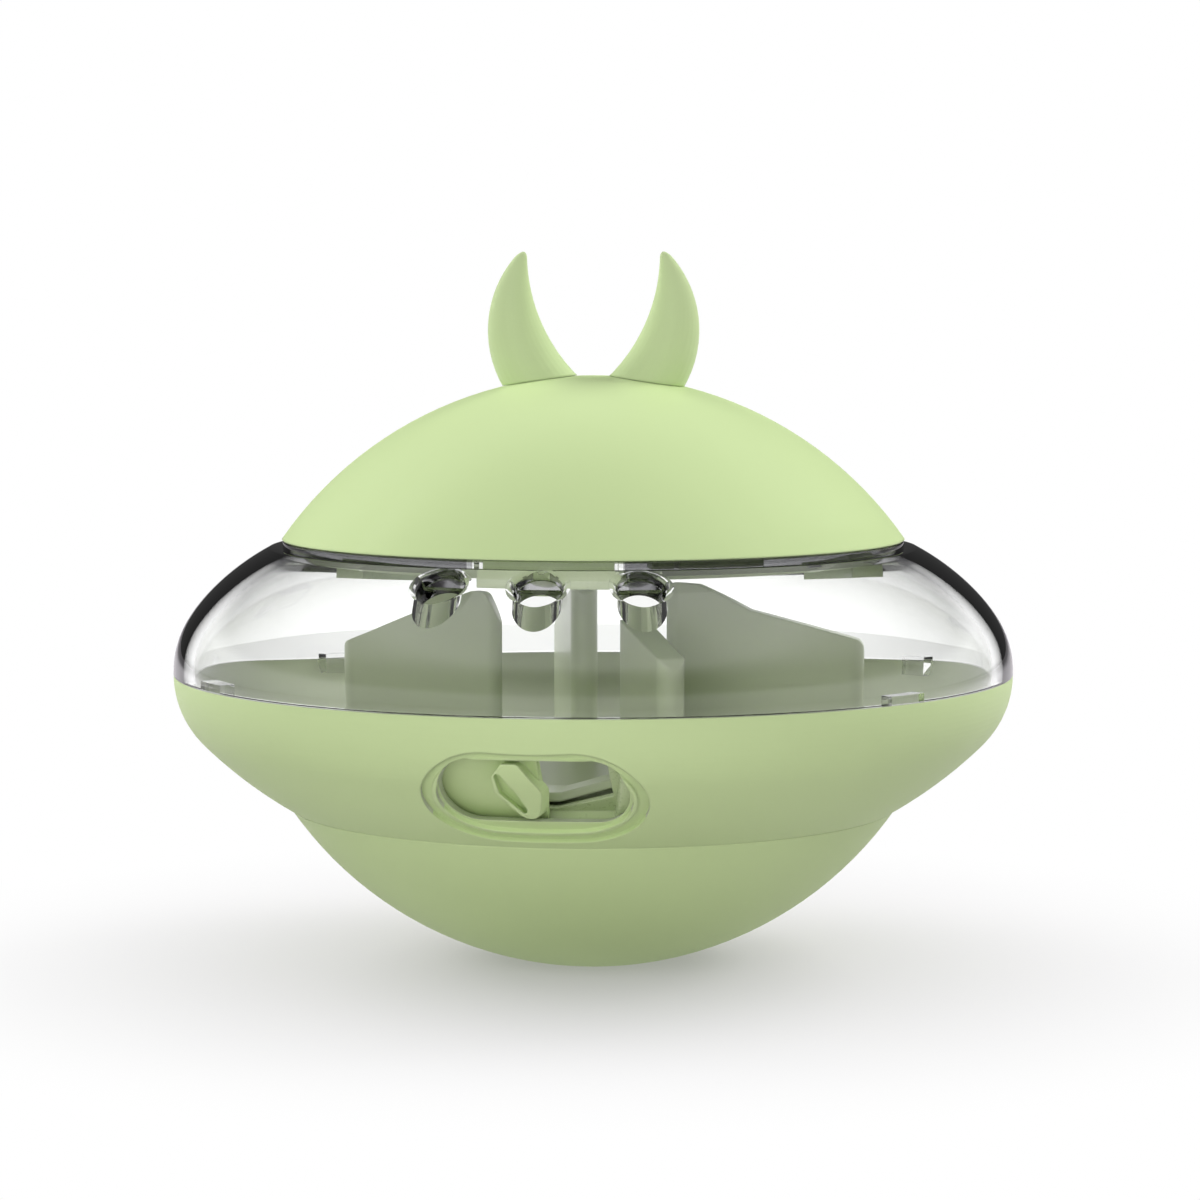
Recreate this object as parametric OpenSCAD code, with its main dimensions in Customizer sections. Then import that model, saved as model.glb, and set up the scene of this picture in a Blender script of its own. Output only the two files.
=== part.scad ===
// Wobble treat toy: a saucer-shaped roly-poly with a clear window ring, a lift-off horned lid
// and a sliding gate over the slot that lets the treats out.
// Millimetres. Z is up, the flat of the foot is at zero, the middle axis is Z and the slot faces -Y.
// Angles round the toy are counted from the front (-Y) towards +X.

/* [Body] */
// Widest diameter, at the seam between the lower shell and the window ring
body_d = 120; // [117:0.5:123]
// Height of that seam above the ground
seam_z = 41.6; // [41.2:0.2:42.4]
// Wall of the lower shell, the base bowl and the lid dome
shell_wall = 2.6; // [2.4:0.1:2.8]
// Wall of the clear window ring
window_wall = 2.9; // [2.9:0.1:3.1]
// Diameter of the flat that the toy rests on
foot_d = 18; // [14:1:22]

/* [Meridian curves] */
// Radius of the tight bend just under the seam
lower_bend = 13.5; // [13:0.1:14]
// How far that bend turns before the wall runs on more gently, in degrees
lower_knee = 45; // [43:1:47]
// Radius of the gentler stretch down to the crease
lower_sweep = 62; // [56:1:70]
// Turn of the wall where it meets the base bowl, in degrees
lower_turn = 59.6; // [58.6:0.2:60.4]
// Radius of the tight bend just over the seam
upper_bend = 13.7; // [13.4:0.1:14]
// How far that bend turns, in degrees
upper_knee = 38.3; // [37.3:0.1:39.3]
// Radius of the gentler stretch up to the lid
upper_sweep = 34; // [32:1:36]
// Width of the flat shoulder between that stretch and the collar
shoulder_w = 1.93; // [1.7:0.01:2.2]

/* [Window ring] */
// Width of the collar round the mouth that the treats are poured in through
collar_w = 2.9; // [2.7:0.1:3.1]
// Height of the collar that stands over the shoulder of the clear wall
collar_rise = 1.1; // [1:0.1:1.4]
// Thickness of the collar that the lid's lugs hook under
collar_t = 1.5; // [1.4:0.1:1.6]
// Diameter of the upright holes
hole_d = 6.4; // [6:0.1:7]
// Distance from the collar out to the middle of a hole
hole_gap = 4.9; // [4.7:0.1:5.3]
// Angle between neighbouring holes, in degrees
hole_pitch = 15.7; // [14:0.1:17]

/* [Slot and gate] */
// Length of the treat slot
slot_w = 25; // [24.6:0.1:25.4]
// Height of the treat slot
slot_h = 9.3; // [9.1:0.1:9.5]
// Length of the sunk surround of the slot
surround_w = 30; // [29.4:0.2:30.6]
// Height of the sunk surround, along the slope of the wall
surround_h = 19.4; // [19:0.1:19.6]
// How far the gate plate reaches round the toy, in degrees
gate_span = 27.5; // [27:0.5:28]
// Where the open edge of the gate stands at rest, in degrees from the front
gate_edge = 0.8; // [0.6:0.2:1.6]
// Thickness of the gate plate
gate_t = 1.6; // [1.4:0.1:1.8]
// Width of the finger grip on the gate
grip_w = 6.2; // [5.6:0.1:6.6]

/* [Lid] */
// Height of the dome over its own edge
dome_rise = 23.2; // [22.6:0.2:24]
// Diameter of the dome's edge
dome_d = 89; // [88.4:0.2:89.4]
// Length of a bayonet lug, measured round the mouth
lug_w = 18.3; // [16:0.1:19]
// How far the lugs hang below the collar's top face
lug_drop = 4.7; // [4.4:0.1:4.8]
// Height of the horn tips over the top of the dome
horn_rise = 17.6; // [17:0.1:18.2]
// Depth of a horn front to back, as a share of its breadth
horn_depth_share = 0.8; // [0.6:0.05:1]

/* [Base] */
// Diameter of the counterweight
weight_d = 38; // [34:1:40]
// Height of the counterweight's top face
weight_top = 14; // [13:0.5:14.5]

/* [Hidden] */
$fn = 96;

// One overrun for every cut, so that no cut ends flush with a face.
overrun = 1;
// Points along each stretch of a meridian curve.
curve_steps = 12;

// Clearances
seat_gap = 0.05;      // between a screw's shank and its hole, under the horns and behind the rail
tab_gap = 0.2;        // between the window ring's tabs and the lower shell
rib_gap = 0.2;        // between the deck's ribs and the bowl's posts
gate_gap = 0.3;       // between the gate and what it slides on
lid_gap = 0.1;        // between the lid's hooks and the collar
bore_gap = 0.3;       // between the lid's pads and the mouth
weight_gap = 0.4;     // round the counterweight

// Plastic colours, as in the photograph
sage = "#cddeaa";
sage_dark = "#b4c592";
clear = "#e9eeee55";
steel = "#b9bcbf";
iron = "#5c5f62";
rubber = "#a9b98c";

// Meridian: the section of the outer wall. Both curves start upright, make a tight bend up to the
// knee and then run on along a gentler arc. Side is -1 for the lower shell, 1 for the ring, which
// has a narrow upright band between the seam and its curve.
band_h = 0.4;
function start_z(side) = side < 0 ? seam_z : seam_z + band_h;
function bend(side) = side < 0 ? lower_bend : upper_bend;
function sweep(side) = side < 0 ? lower_sweep : upper_sweep;
function knee(side) = side < 0 ? lower_knee : upper_knee;
function arc_base(side, turn) = turn <= knee(side) ? 0 : sweep(side) - bend(side);
function arc_radius(side, turn) = turn <= knee(side) ? bend(side) : sweep(side);
function on_wall(side, turn, inset) = [
    body_d / 2 - bend(side) - arc_base(side, turn) * cos(knee(side))
        + (arc_radius(side, turn) - inset) * cos(turn),
    start_z(side) + side * ((arc_radius(side, turn) - inset) * sin(turn)
        - arc_base(side, turn) * sin(knee(side)))];
function wall_line(side, from, to, inset) =
    [for (i = [0 : curve_steps]) on_wall(side, from + (to - from) * i / curve_steps, inset)];
// The line follows both stretches, with a point exactly at the knee.
function wall_curve(side, from, to, inset) = from < knee(side) && to > knee(side)
    ? concat(wall_line(side, from, knee(side), inset), wall_line(side, knee(side), to, inset))
    : wall_line(side, from, to, inset);
// On the ring's gentle stretch: the turn at a distance from the axis
function turn_at(r) = acos((r - body_d / 2 + upper_bend + (upper_sweep - upper_bend) * cos(upper_knee))
    / upper_sweep);
function backwards(points) = [for (i = [len(points) - 1 : -1 : 0]) points[i]];

// Where the lower shell ends: the crease over the base bowl, and the deck inside it
crease = on_wall(-1, lower_turn, 0);
deck_edge = on_wall(-1, lower_turn, shell_wall);
crease_z = crease[1];
deck_top = deck_edge[1];

// Base bowl: a ball through the crease and through the rim of the flat foot
foot_r = foot_d / 2;
bowl_z = (pow(crease[0], 2) + pow(crease_z, 2) - pow(foot_r, 2)) / (2 * crease_z);
bowl_r = norm([foot_r, bowl_z]);
floor_z = shell_wall;

// Window ring: shoulder, collar and mouth at the top, four tabs at the bottom
collar_r = dome_d / 2 - lid_gap;
upper_turn = turn_at(collar_r + shoulder_w);
shoulder = on_wall(1, upper_turn, 0);
collar_top = shoulder[1] + collar_rise;
collar_under = collar_top - collar_t;
mouth_r = collar_r - collar_w;
hole_r = collar_r + hole_gap;
tab_r = body_d / 2 - shell_wall - tab_gap;
tab_t = 1.8;
tab_w = 6.4;
tab_h = 3;
tab_lap = 0.9;
tab_turns = [-126, -54, 54, 126];
tab_half_turn = asin(tab_w / 2 / tab_r);
lead_h = 2;           // the tabs' tapered lead, which clears the curved wall of the shell
lead_t = 0.6;

// Holes: each has a flared lip, square to the slope of the clear wall
lip_d = 8.3;
lip_depth = 1.3;
hole_turn = turn_at(hole_r);
hole_lip = on_wall(1, hole_turn, 0);

// Lid dome: a ball through the dome's edge and through its top
dome_edge_z = collar_top + lid_gap;
dome_top = dome_edge_z + dome_rise;
dome_r = (pow(dome_rise, 2) + pow(dome_d / 2, 2)) / (2 * dome_rise);
dome_z = dome_top - dome_r;
function dome_height(r, inset) = dome_z + sqrt(pow(dome_r - inset, 2) - pow(r, 2));

// Seal: a flat ring in a groove under the dome's edge
seal_r = (collar_r + mouth_r) / 2;
seal_w = 1.2;
seal_t = 0.8;
seal_side_gap = 0.1;

// Screws: shank diameter, head diameter and head height of the two sizes
screw_d = 3;
screw_head_d = 5.6;
screw_head_h = 1.7;
small_d = 2.6;
small_head_d = 4.8;
small_head_h = 1.5;
post_wall = 2.2;
cross_w_share = 0.16;
cross_len_share = 0.62;
cross_depth_share = 0.55;

// Base screws: down through the deck into four posts of the bowl
base_screw_share = 0.76;
base_screw_r = crease[0] * base_screw_share;
base_screw_len = 10;
base_screw_turn = 45;
rib_side_gap = 2.6;
rib_r = crease[0] - shell_wall - rib_side_gap;
rib_t = 1.8;
rib_h = 2;

// Counterweight clamp: a plate with three arms, screwed on three posts
weight_r = weight_d / 2;
clamp_margin = 3;
clamp_r = weight_r - clamp_margin;
clamp_t = 2;
clamp_screw_r = weight_r + small_d / 2 + post_wall + weight_gap;
clamp_screw_len = 7;
clamp_turn = 30;
arm_w = small_d + 2 * post_wall;

// Treat tray: a low cone that sends the treats outwards, with upright deflector blades on it
tray_gap = 0.35;
tray_rim_h = 2.2;
tray_crown_h = 5;
tray_crown_r = 9;
tray_screw_r = 27;
tray_screw_len = 8;
tray_screw_turn = 60;
tray_boss_h = 5.4;
blade_t = 4;
blade_round = 1.4;
ramp_t = 1.2;
ramp_gap = 0.45;
ramp_back_r = 33;
ramp_hollow_r = 34.5;
ramp_from = -9;
ramp_to = 17;
ramp_side = 2;

// Blades: angle round the toy, and the top line as distance from the axis and rise over the seam
left_blade = [-90, [[13.3, 7.7], [14.4, 10.4], [15.4, 12.7], [17.2, 12.9], [32.2, 6.4], [36.5, 4.7]]];
right_blade = [90, [[10.6, 13.5], [11.4, 14.7], [15.3, 14.2], [22.7, 9.9], [38.2, 5.6], [38.8, 4.7]]];
rear_blade = [195, [[10, 12.4], [11, 13.4], [18, 13.4], [33, 6.6], [37, 4.9]]];
front_blade = [28, [[15, 8.4], [16, 9.4], [24.6, 6.8], [31.4, 5], [32.6, 3.8]]];
blades = [left_blade, right_blade, rear_blade, front_blade];

// Slot: cut level through the wall, its middle this far under the seam
slot_drop = 10.25;
slot_z = seam_z - slot_drop;

// Surround of the slot: a local frame on the slope of the wall, and three steps down to the slot
surround_top_turn = 21;
surround_foot_turn = 58;
surround_top = on_wall(-1, surround_top_turn, 0);
surround_foot = on_wall(-1, surround_foot_turn, 0);
surround_r = (surround_top[0] + surround_foot[0]) / 2;
surround_z = (surround_top[1] + surround_foot[1]) / 2;
surround_tilt = 90 - atan2(surround_top[1] - surround_foot[1], surround_top[0] - surround_foot[0]);
surround_depth = 0.7;
channel_w = 1.5;
ridge_w = surround_w - 2 * channel_w;
ridge_h = surround_h - 2 * channel_w;
ridge_t = 0.6;
ridge_lift = 0.4;
ridge_depth = 0.25;
inner_depth = 0.95;

// Gate and rail: both follow the inside of the wall, between these turns of the meridian
gate_from = 22;
gate_to = 57.4;
channel_from = 21;
channel_to = 58.2;
rail_from = 20;
rail_to = 59.2;
gate_in = shell_wall + gate_gap;
rail_in = gate_in + gate_t + gate_gap;
rail_t = 1.6;
rail_out = rail_in + rail_t;
gate_left_travel = 6.2;
gate_right_travel = 10.5;
travel_spare = 1;
gate_start = gate_edge - gate_span;
channel_start = gate_start - gate_left_travel - travel_spare;
channel_end = gate_edge + gate_right_travel + travel_spare;
rail_end = 4.4;
rail_start = channel_start - rail_end;
rail_stop = channel_end + rail_end;
rail_ear = 3.4;
rail_screw_turn = 43;
rail_boss_h = rail_in - shell_wall;
rail_screw_len = 4.4;

// Sill: the lower edge of the rail's window, which climbs to the right behind the slot
sill_left = -11.3;
sill_right = 9.4;
sill_bend = 1.5;
sill_drop = 13.85;
sill_z = seam_z - sill_drop;
sill_climb = 15.4;
sill_end_z = sill_z + (sill_right - sill_bend) * tan(sill_climb);
window_drop = 4.6;
window_top_z = seam_z - window_drop;
rail_foot_r = on_wall(-1, rail_to, rail_out)[0];

// Grip: a block that leans to the left, with a groove beside its left edge. Its outlines are given
// as shares of its half breadth and half height.
grip_h = 8.2;
grip_sink = 0.3;
grip_turn = -1.9;
groove_depth = 1.2;
grip_shape = [[-0.5, 1], [0.1, 1], [0.24, 0.92], [0.93, 0.16], [1, 0.02], [0.99, -0.14], [0.8, -0.7],
              [0.7, -0.86], [0.52, -0.97], [0.3, -1], [0.1, -0.98], [-0.1, -0.88], [-0.95, -0.06],
              [-1, 0.06], [-0.98, 0.56]];
groove_shape = [[-0.88, 0.56], [-0.8, 0.66], [-0.62, 0.62], [-0.1, 0.02], [0.24, -0.64], [0.16, -0.78],
                [0.04, -0.78], [-0.78, -0.04]];

// Bayonet: lugs that hang through the mouth, and pads that centre the lid in it
lug_t = 3;
hook_reach = 1.5;
lug_r = mouth_r - bore_gap;
notch_r = mouth_r + hook_reach + bore_gap;
lug_half_turn = asin(lug_w / 2 / (mouth_r + hook_reach));
notch_side_gap = 0.5;
pad_turn = 30;
pad_half_turn = 11;
pad_h = 1.3;
pad_slit = 0.6;
pad_slit_turn = 23.6;
stop_h = 1.5;
stop_half_turn = 1.5;
lid_travel = 35;
stop_turn = lug_half_turn + lid_travel + travel_spare + stop_half_turn;
lock_ring_t = 2.2;
function dome_bore(z) = sqrt(pow(dome_r - shell_wall, 2) - pow(z - dome_z, 2)) - bore_gap;
lock_ring_r = dome_bore(dome_edge_z + lock_ring_t);
lock_ring_w = 10.2;
lock_ring_bore = lug_r - lug_t - lock_ring_w;
lock_screw_r = lock_ring_bore + lock_ring_w / 2;
lock_screw_turn = 60;
lock_screw_len = 7;

// Horns: a crescent between two arcs, seen from the front. Places are counted from the dome's top.
horn_back_r = horn_rise * 0.903;
horn_back = [0.037 * horn_rise, 0.364 * horn_rise];
horn_front_r = horn_rise * 1.386;
horn_front = [0.842 * horn_rise, 0.983 * horn_rise];
horn_foot = -2.3;
horn_steps = 22;
horn_sides = 32;
tip_round = 0.7;
tip_fullness = 0.95;
horn_screw_x = 8.6;
horn_screw_len = 8.5;
horn_pilot_spare = 0.5;
horn_boss_d = 9;
washer_d = 8;
washer_t = 0.8;

// Turns a thing to its angle round the toy
module around(angle) { rotate([0, 0, angle]) children(); }

// Copies of a thing, evenly round the axis
module ring_of(count, first = 0) { for (i = [0 : count - 1]) around(first + i * 360 / count) children(); }

// Places a thing at a distance from the axis, to the front
module out(r, z = 0) { translate([0, -r, z]) children(); }

// A wedge of a revolved outline between two angles round the toy
module turned(from, to) { rotate([0, 0, from - 90]) rotate_extrude(angle = to - from) children(); }

// The outline of a layer that follows the outer wall, between two depths under its surface
module wall_outline(side, from, to, outer, inner) {
    polygon(concat(wall_curve(side, from, to, outer), backwards(wall_curve(side, from, to, inner))));
}

// A layer that follows the wall all round
module wall_layer(side, from, to, outer, inner) {
    rotate_extrude() wall_outline(side, from, to, outer, inner);
}

// A stadium, lying flat, with its long way along X
module stadium(w, h) {
    square([w - h, h], center = true);
    for (end = [-1, 1]) translate([end * (w - h) / 2, 0]) circle(d = h);
}

// A prism square to the slope of the surround, which reaches through the wall both ways
module slope_prism(w, h, lift = 0) {
    reach = 4 * shell_wall;
    out(surround_r, surround_z) rotate([90 + surround_tilt, 0, 0])
        translate([0, lift, -reach]) linear_extrude(2 * reach) stadium(w, h);
}

// A level prism out to the front, from a drawing with X to the right and Y up
module level_prism(from_r = 0) {
    out(from_r) rotate([90, 0, 0]) linear_extrude(body_d / 2 + overrun - from_r) children();
}

// A screw with its head's underside at zero, its shank down and a cross recess in the head
module screw(d, head_d, head_h, len) {
    cone = d / 2;
    difference() {
        union() {
            cylinder(d = head_d, h = head_h);
            translate([0, 0, cone - len]) cylinder(d = d, h = len - cone);
            translate([0, 0, -len]) cylinder(d1 = 0, d2 = d, h = cone);
        }
        for (a = [0, 90]) rotate([0, 0, a])
            translate([-cross_len_share * head_d / 2, -cross_w_share * head_d / 2,
                       head_h * (1 - cross_depth_share)])
                cube([cross_len_share * head_d, cross_w_share * head_d, head_h]);
    }
}

// A flat-headed screw: the head is a cone that ends flush at zero
module flush_screw(len) {
    difference() {
        union() {
            translate([0, 0, -screw_head_h])
                cylinder(d1 = screw_d, d2 = screw_head_d, h = screw_head_h);
            translate([0, 0, screw_d / 2 - len]) cylinder(d = screw_d, h = len - screw_d / 2);
            translate([0, 0, -len]) cylinder(d1 = 0, d2 = screw_d, h = screw_d / 2);
        }
        for (a = [0, 90]) rotate([0, 0, a])
            translate([-cross_len_share * screw_head_d / 2, -cross_w_share * screw_head_d / 2,
                       -screw_head_h * cross_depth_share])
                cube([cross_len_share * screw_head_d, cross_w_share * screw_head_d, screw_head_h]);
    }
}

// A blind hole for a screw's shank, from zero down
module pilot(d, depth) {
    translate([0, 0, -depth]) cylinder(d = d + 2 * seat_gap, h = depth + overrun);
}

// The inside of the bowl, as a solid
module bowl_inside(inset) {
    intersection() {
        translate([0, 0, bowl_z]) sphere(r = bowl_r - inset);
        translate([0, 0, floor_z]) cylinder(r = bowl_r, h = crease_z);
    }
}

// Base bowl: the rounded half that the toy rocks on, with posts for the weight and for the shell
module base_bowl() {
    color(sage) difference() {
        intersection() {
            translate([0, 0, bowl_z]) sphere(r = bowl_r);
            cylinder(r = bowl_r, h = crease_z);
        }
        difference() {
            bowl_inside(shell_wall);
            ring_of(3, clamp_turn) out(clamp_screw_r) cylinder(d = arm_w, h = weight_top);
            ring_of(4, base_screw_turn) out(base_screw_r)
                cylinder(d = screw_d + 2 * post_wall, h = crease_z);
        }
        ring_of(3, clamp_turn) out(clamp_screw_r, weight_top) pilot(small_d, clamp_screw_len - clamp_t);
        ring_of(4, base_screw_turn) out(base_screw_r, crease_z) pilot(screw_d, base_screw_len);
    }
}

// Counterweight: a turned steel slug with a rounded underside, low in the bowl
module counterweight() {
    color(iron) intersection() {
        bowl_inside(shell_wall + weight_gap);
        cylinder(r = weight_r, h = weight_top);
    }
}

// Weight clamp: holds the counterweight down on the bowl's floor
module weight_clamp() {
    color(sage_dark) translate([0, 0, weight_top]) difference() {
        union() {
            cylinder(r = clamp_r, h = clamp_t);
            ring_of(3, clamp_turn) {
                translate([-arm_w / 2, -clamp_screw_r, 0]) cube([arm_w, clamp_screw_r, clamp_t]);
                out(clamp_screw_r) cylinder(d = arm_w, h = clamp_t);
            }
        }
        ring_of(3, clamp_turn) out(clamp_screw_r, -overrun)
            cylinder(d = small_d + 2 * seat_gap, h = clamp_t + 2 * overrun);
    }
}

// Weight screws: three, down through the clamp's arms
module weight_screws() {
    color(steel) ring_of(3, clamp_turn) out(clamp_screw_r, weight_top + clamp_t)
        screw(small_d, small_head_d, small_head_h, clamp_screw_len);
}

// Lower shell: the lower half of the saucer, with the deck that closes the base
module lower_shell() {
    color(sage) difference() {
        union() {
            rotate_extrude() polygon(concat(wall_curve(-1, 0, lower_turn, 0),
                [[0, crease_z], [0, deck_top]], backwards(wall_curve(-1, 0, lower_turn, shell_wall))));
            translate([0, 0, crease_z - rib_h]) difference() {
                cylinder(r = rib_r, h = rib_h + seat_gap);
                translate([0, 0, -overrun]) cylinder(r = rib_r - rib_t, h = rib_h + 2 * overrun);
                ring_of(4, base_screw_turn) out(base_screw_r, -overrun)
                    cylinder(d = screw_d + 2 * post_wall + 2 * rib_gap, h = rib_h + overrun);
            }
            ring_of(3, tray_screw_turn) out(tray_screw_r, crease_z - tray_boss_h)
                cylinder(d = screw_d + 2 * post_wall, h = tray_boss_h + seat_gap);
            rail_bosses();
        }
        ring_of(4, base_screw_turn) out(base_screw_r, deck_top) {
            translate([0, 0, -screw_head_h]) cylinder(d1 = screw_d + 2 * seat_gap,
                d2 = screw_head_d + 2 * seat_gap, h = screw_head_h);
            pilot(screw_d, 2 * shell_wall);
            cylinder(d = screw_head_d + 2 * seat_gap, h = overrun);
        }
        ring_of(3, tray_screw_turn) out(tray_screw_r, deck_top) pilot(screw_d, tray_screw_len);
        rail_pilots();
        level_prism() translate([0, slot_z]) stadium(slot_w, slot_h);
        slot_surround();
    }
}

// The sunk surround of the slot: a channel, a fine ridge and a deeper inner field, all of even
// depth under the curved wall
module slot_surround() {
    sunk(surround_depth) difference() {
        slope_prism(surround_w, surround_h);
        slope_prism(ridge_w, ridge_h, ridge_lift);
    }
    sunk(ridge_depth) slope_prism(ridge_w, ridge_h, ridge_lift);
    sunk(inner_depth) slope_prism(ridge_w - 2 * ridge_t, ridge_h - 2 * ridge_t, ridge_lift);
}

// What a prism takes off the wall when it goes no deeper than a given depth
module sunk(depth) {
    intersection() {
        children();
        wall_layer(-1, 0, lower_turn, -overrun, depth);
    }
}

// A place on the inside of the wall, at an angle and at a turn of the meridian, Z pointing inwards
module on_inside(angle, turn, inset) {
    spot = on_wall(-1, turn, inset);
    around(angle) out(spot[0], spot[1]) rotate([turn - 90, 0, 0]) children();
}

// The two rail screws stand just past the ends of the rail
module at_rail_screws(inset) {
    for (angle = [rail_start, rail_stop]) on_inside(angle, rail_screw_turn, inset) children();
}

// Bosses on the inside of the shell that the gate rail is screwed to
module rail_bosses() {
    at_rail_screws(shell_wall + rail_boss_h)
        translate([0, 0, -rail_boss_h - shell_wall / 2])
            cylinder(r = rail_ear, h = rail_boss_h + shell_wall / 2);
}

// Blind holes in those bosses
module rail_pilots() { at_rail_screws(rail_in) pilot(small_d, rail_screw_len - rail_t); }

// Base screws: four flat-headed screws, down through the deck into the bowl's posts
module base_screws() {
    color(steel) ring_of(4, base_screw_turn) out(base_screw_r, deck_top) flush_screw(base_screw_len);
}

// One deflector blade: an upright plate with rounded ends and a sloping top
module blade(plan) {
    line = plan[1];
    inner_r = line[0][0];
    outer_r = line[len(line) - 1][0];
    foot = deck_top - seam_z + tray_rim_h / 2;
    around(plan[0]) intersection() {
        rotate([90, 0, -90]) linear_extrude(blade_t, center = true)
            offset(r = blade_round) offset(delta = -blade_round)
                translate([0, seam_z]) polygon(concat([[outer_r, foot], [inner_r, foot]], line));
        out((inner_r + outer_r) / 2) linear_extrude(body_d)
            rotate(90) stadium(outer_r - inner_r, blade_t);
    }
}

// Everything in front that lies under the line of the sill, or under that line when it is lifted
module below_sill(lift) {
    far = 2 * sill_right;
    level_prism() polygon([[-far, 0], [far, 0],
        [far, sill_z + lift + (far - sill_bend) * tan(sill_climb)],
        [sill_bend, sill_z + lift], [-far, sill_z + lift]]);
}

// The ramp behind the rail's sill: a thin tilted roof over a hollow, with a shadow gap under its edge
module ramp() {
    lip_r = rail_foot_r - gate_gap;
    difference() {
        intersection() {
            turned(ramp_from, ramp_to) translate([ramp_back_r, deck_top + tray_rim_h / 2])
                square([lip_r - ramp_back_r, sill_end_z]);
            below_sill(ramp_gap + ramp_t);
        }
        intersection() {
            turned(ramp_from + ramp_side, ramp_to - ramp_side)
                translate([ramp_hollow_r, deck_top + tray_rim_h])
                    square([lip_r, sill_end_z]);
            below_sill(ramp_gap);
        }
    }
}

// Treat tray: the chamber's floor with its four deflector blades and the ramp behind the slot
module treat_tray() {
    foot_point = deck_edge[0] - tray_gap;
    color(sage_dark) difference() {
        union() {
            rotate_extrude() polygon([[0, deck_top], [foot_point, deck_top],
                [foot_point + tray_rim_h, deck_top + tray_rim_h],
                [tray_crown_r, deck_top + tray_crown_h], [0, deck_top + tray_crown_h]]);
            for (plan = blades) blade(plan);
            ramp();
        }
        turned(rail_start - rail_end, rail_stop + rail_end)
            translate([rail_foot_r - gate_gap, deck_top - overrun]) square([body_d, seam_z]);
        ring_of(3, tray_screw_turn) out(tray_screw_r, deck_top + tray_rim_h) {
            cylinder(d = screw_head_d + 2 * seat_gap, h = tray_crown_h);
            pilot(screw_d, tray_crown_h);
        }
    }
}

// Tray screws: three, down into the bosses under the deck
module tray_screws() {
    color(steel) ring_of(3, tray_screw_turn) out(tray_screw_r, deck_top + tray_rim_h)
        screw(screw_d, screw_head_d, screw_head_h, tray_screw_len + tray_rim_h - screw_d / 2);
}

// A drawing given as shares of the grip's half breadth and half height, moved to the grip's place
module grip_prism(shares) {
    around(grip_turn) level_prism() translate([0, slot_z])
        scale([grip_w / 2, grip_h / 2]) polygon(shares);
}

// Outlet gate: a plate that follows the inside of the wall, with a grip that comes out of the slot
module outlet_gate() {
    color(sage) union() {
        turned(gate_start, gate_edge) wall_outline(-1, gate_from, gate_to, gate_in, gate_in + gate_t);
        intersection() {
            difference() {
                grip_prism(grip_shape);
                intersection() {
                    grip_prism(groove_shape);
                    wall_layer(-1, gate_from, gate_to, -overrun, grip_sink + groove_depth);
                }
            }
            wall_layer(-1, gate_from, gate_to, grip_sink, gate_in + gate_t / 2);
        }
    }
}

// Gate rail: the curved frame behind the gate, with a channel for it and a window for the treats
module gate_rail() {
    color(sage_dark) difference() {
        union() {
            turned(rail_start, rail_stop) {
                wall_outline(-1, rail_from, rail_to, shell_wall + seat_gap, rail_out);
                polygon([on_wall(-1, rail_to, rail_out), on_wall(-1, rail_to, shell_wall + seat_gap),
                    [deck_edge[0] - seat_gap, deck_top], [rail_foot_r, deck_top]]);
            }
            at_rail_screws(rail_in) cylinder(r = rail_ear, h = rail_t);
        }
        turned(channel_start, channel_end)
            wall_outline(-1, channel_from, channel_to, shell_wall - overrun, rail_in);
        level_prism() polygon([[sill_left, sill_z], [sill_bend, sill_z], [sill_right, sill_end_z],
            [sill_right, window_top_z], [sill_left, window_top_z]]);
        at_rail_screws(rail_in) {
            translate([0, 0, -rail_boss_h - overrun])
                cylinder(r = rail_ear + gate_gap, h = rail_boss_h + overrun);
            translate([0, 0, -overrun]) cylinder(d = small_d + 2 * seat_gap, h = rail_t + 2 * overrun);
            translate([0, 0, rail_t]) cylinder(r = rail_ear, h = 2 * overrun);
        }
    }
}

// Gate rail screws: two, outwards into the shell's bosses
module gate_rail_screws() {
    color(steel) at_rail_screws(rail_out) screw(small_d, small_head_d, small_head_h, rail_screw_len);
}

// Window ring: the clear upper half of the saucer, with the mouth, the holes, tabs and stop ribs
module window_ring() {
    color(clear) difference() {
        rotate_extrude() {
            polygon(concat([[body_d / 2, seam_z]], wall_curve(1, 0, upper_turn, 0),
                [[collar_r, shoulder[1]], [collar_r, collar_top], [mouth_r, collar_top],
                 [mouth_r, collar_under], [notch_r + bore_gap, collar_under]],
                backwards(wall_curve(1, 0, upper_turn, window_wall)),
                [[body_d / 2 - window_wall, seam_z]]));
        }
        for (i = [-1 : 1]) around(i * hole_pitch) {
            out(hole_r) cylinder(d = hole_d, h = dome_top);
            out(hole_lip[0], hole_lip[1]) rotate([90 - hole_turn, 0, 0]) translate([0, 0, -lip_depth])
                cylinder(d1 = lip_d - 2 * lip_depth, d2 = lip_d + 2 * overrun, h = lip_depth + overrun);
        }
        ring_of(3) turned(-lug_half_turn - notch_side_gap, lug_half_turn + notch_side_gap)
            translate([0, collar_under - overrun])
                square([notch_r, collar_t + 2 * overrun]);
    }
    color(clear) for (angle = tab_turns) turned(angle - tab_half_turn, angle + tab_half_turn)
        polygon([[tab_r - tab_t, seam_z + tab_lap], [tab_r, seam_z + tab_lap],
            [tab_r, seam_z - tab_h + lead_h], [tab_r - lead_t, seam_z - tab_h],
            [tab_r - tab_t, seam_z - tab_h]]);
    color(clear) ring_of(3, stop_turn) turned(-stop_half_turn, stop_half_turn)
        polygon([[mouth_r + bore_gap, collar_under - stop_h], [collar_r, collar_under - stop_h],
            [notch_r, collar_top - collar_t / 2], [mouth_r + bore_gap, collar_top - collar_t / 2]]);
}

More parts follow.
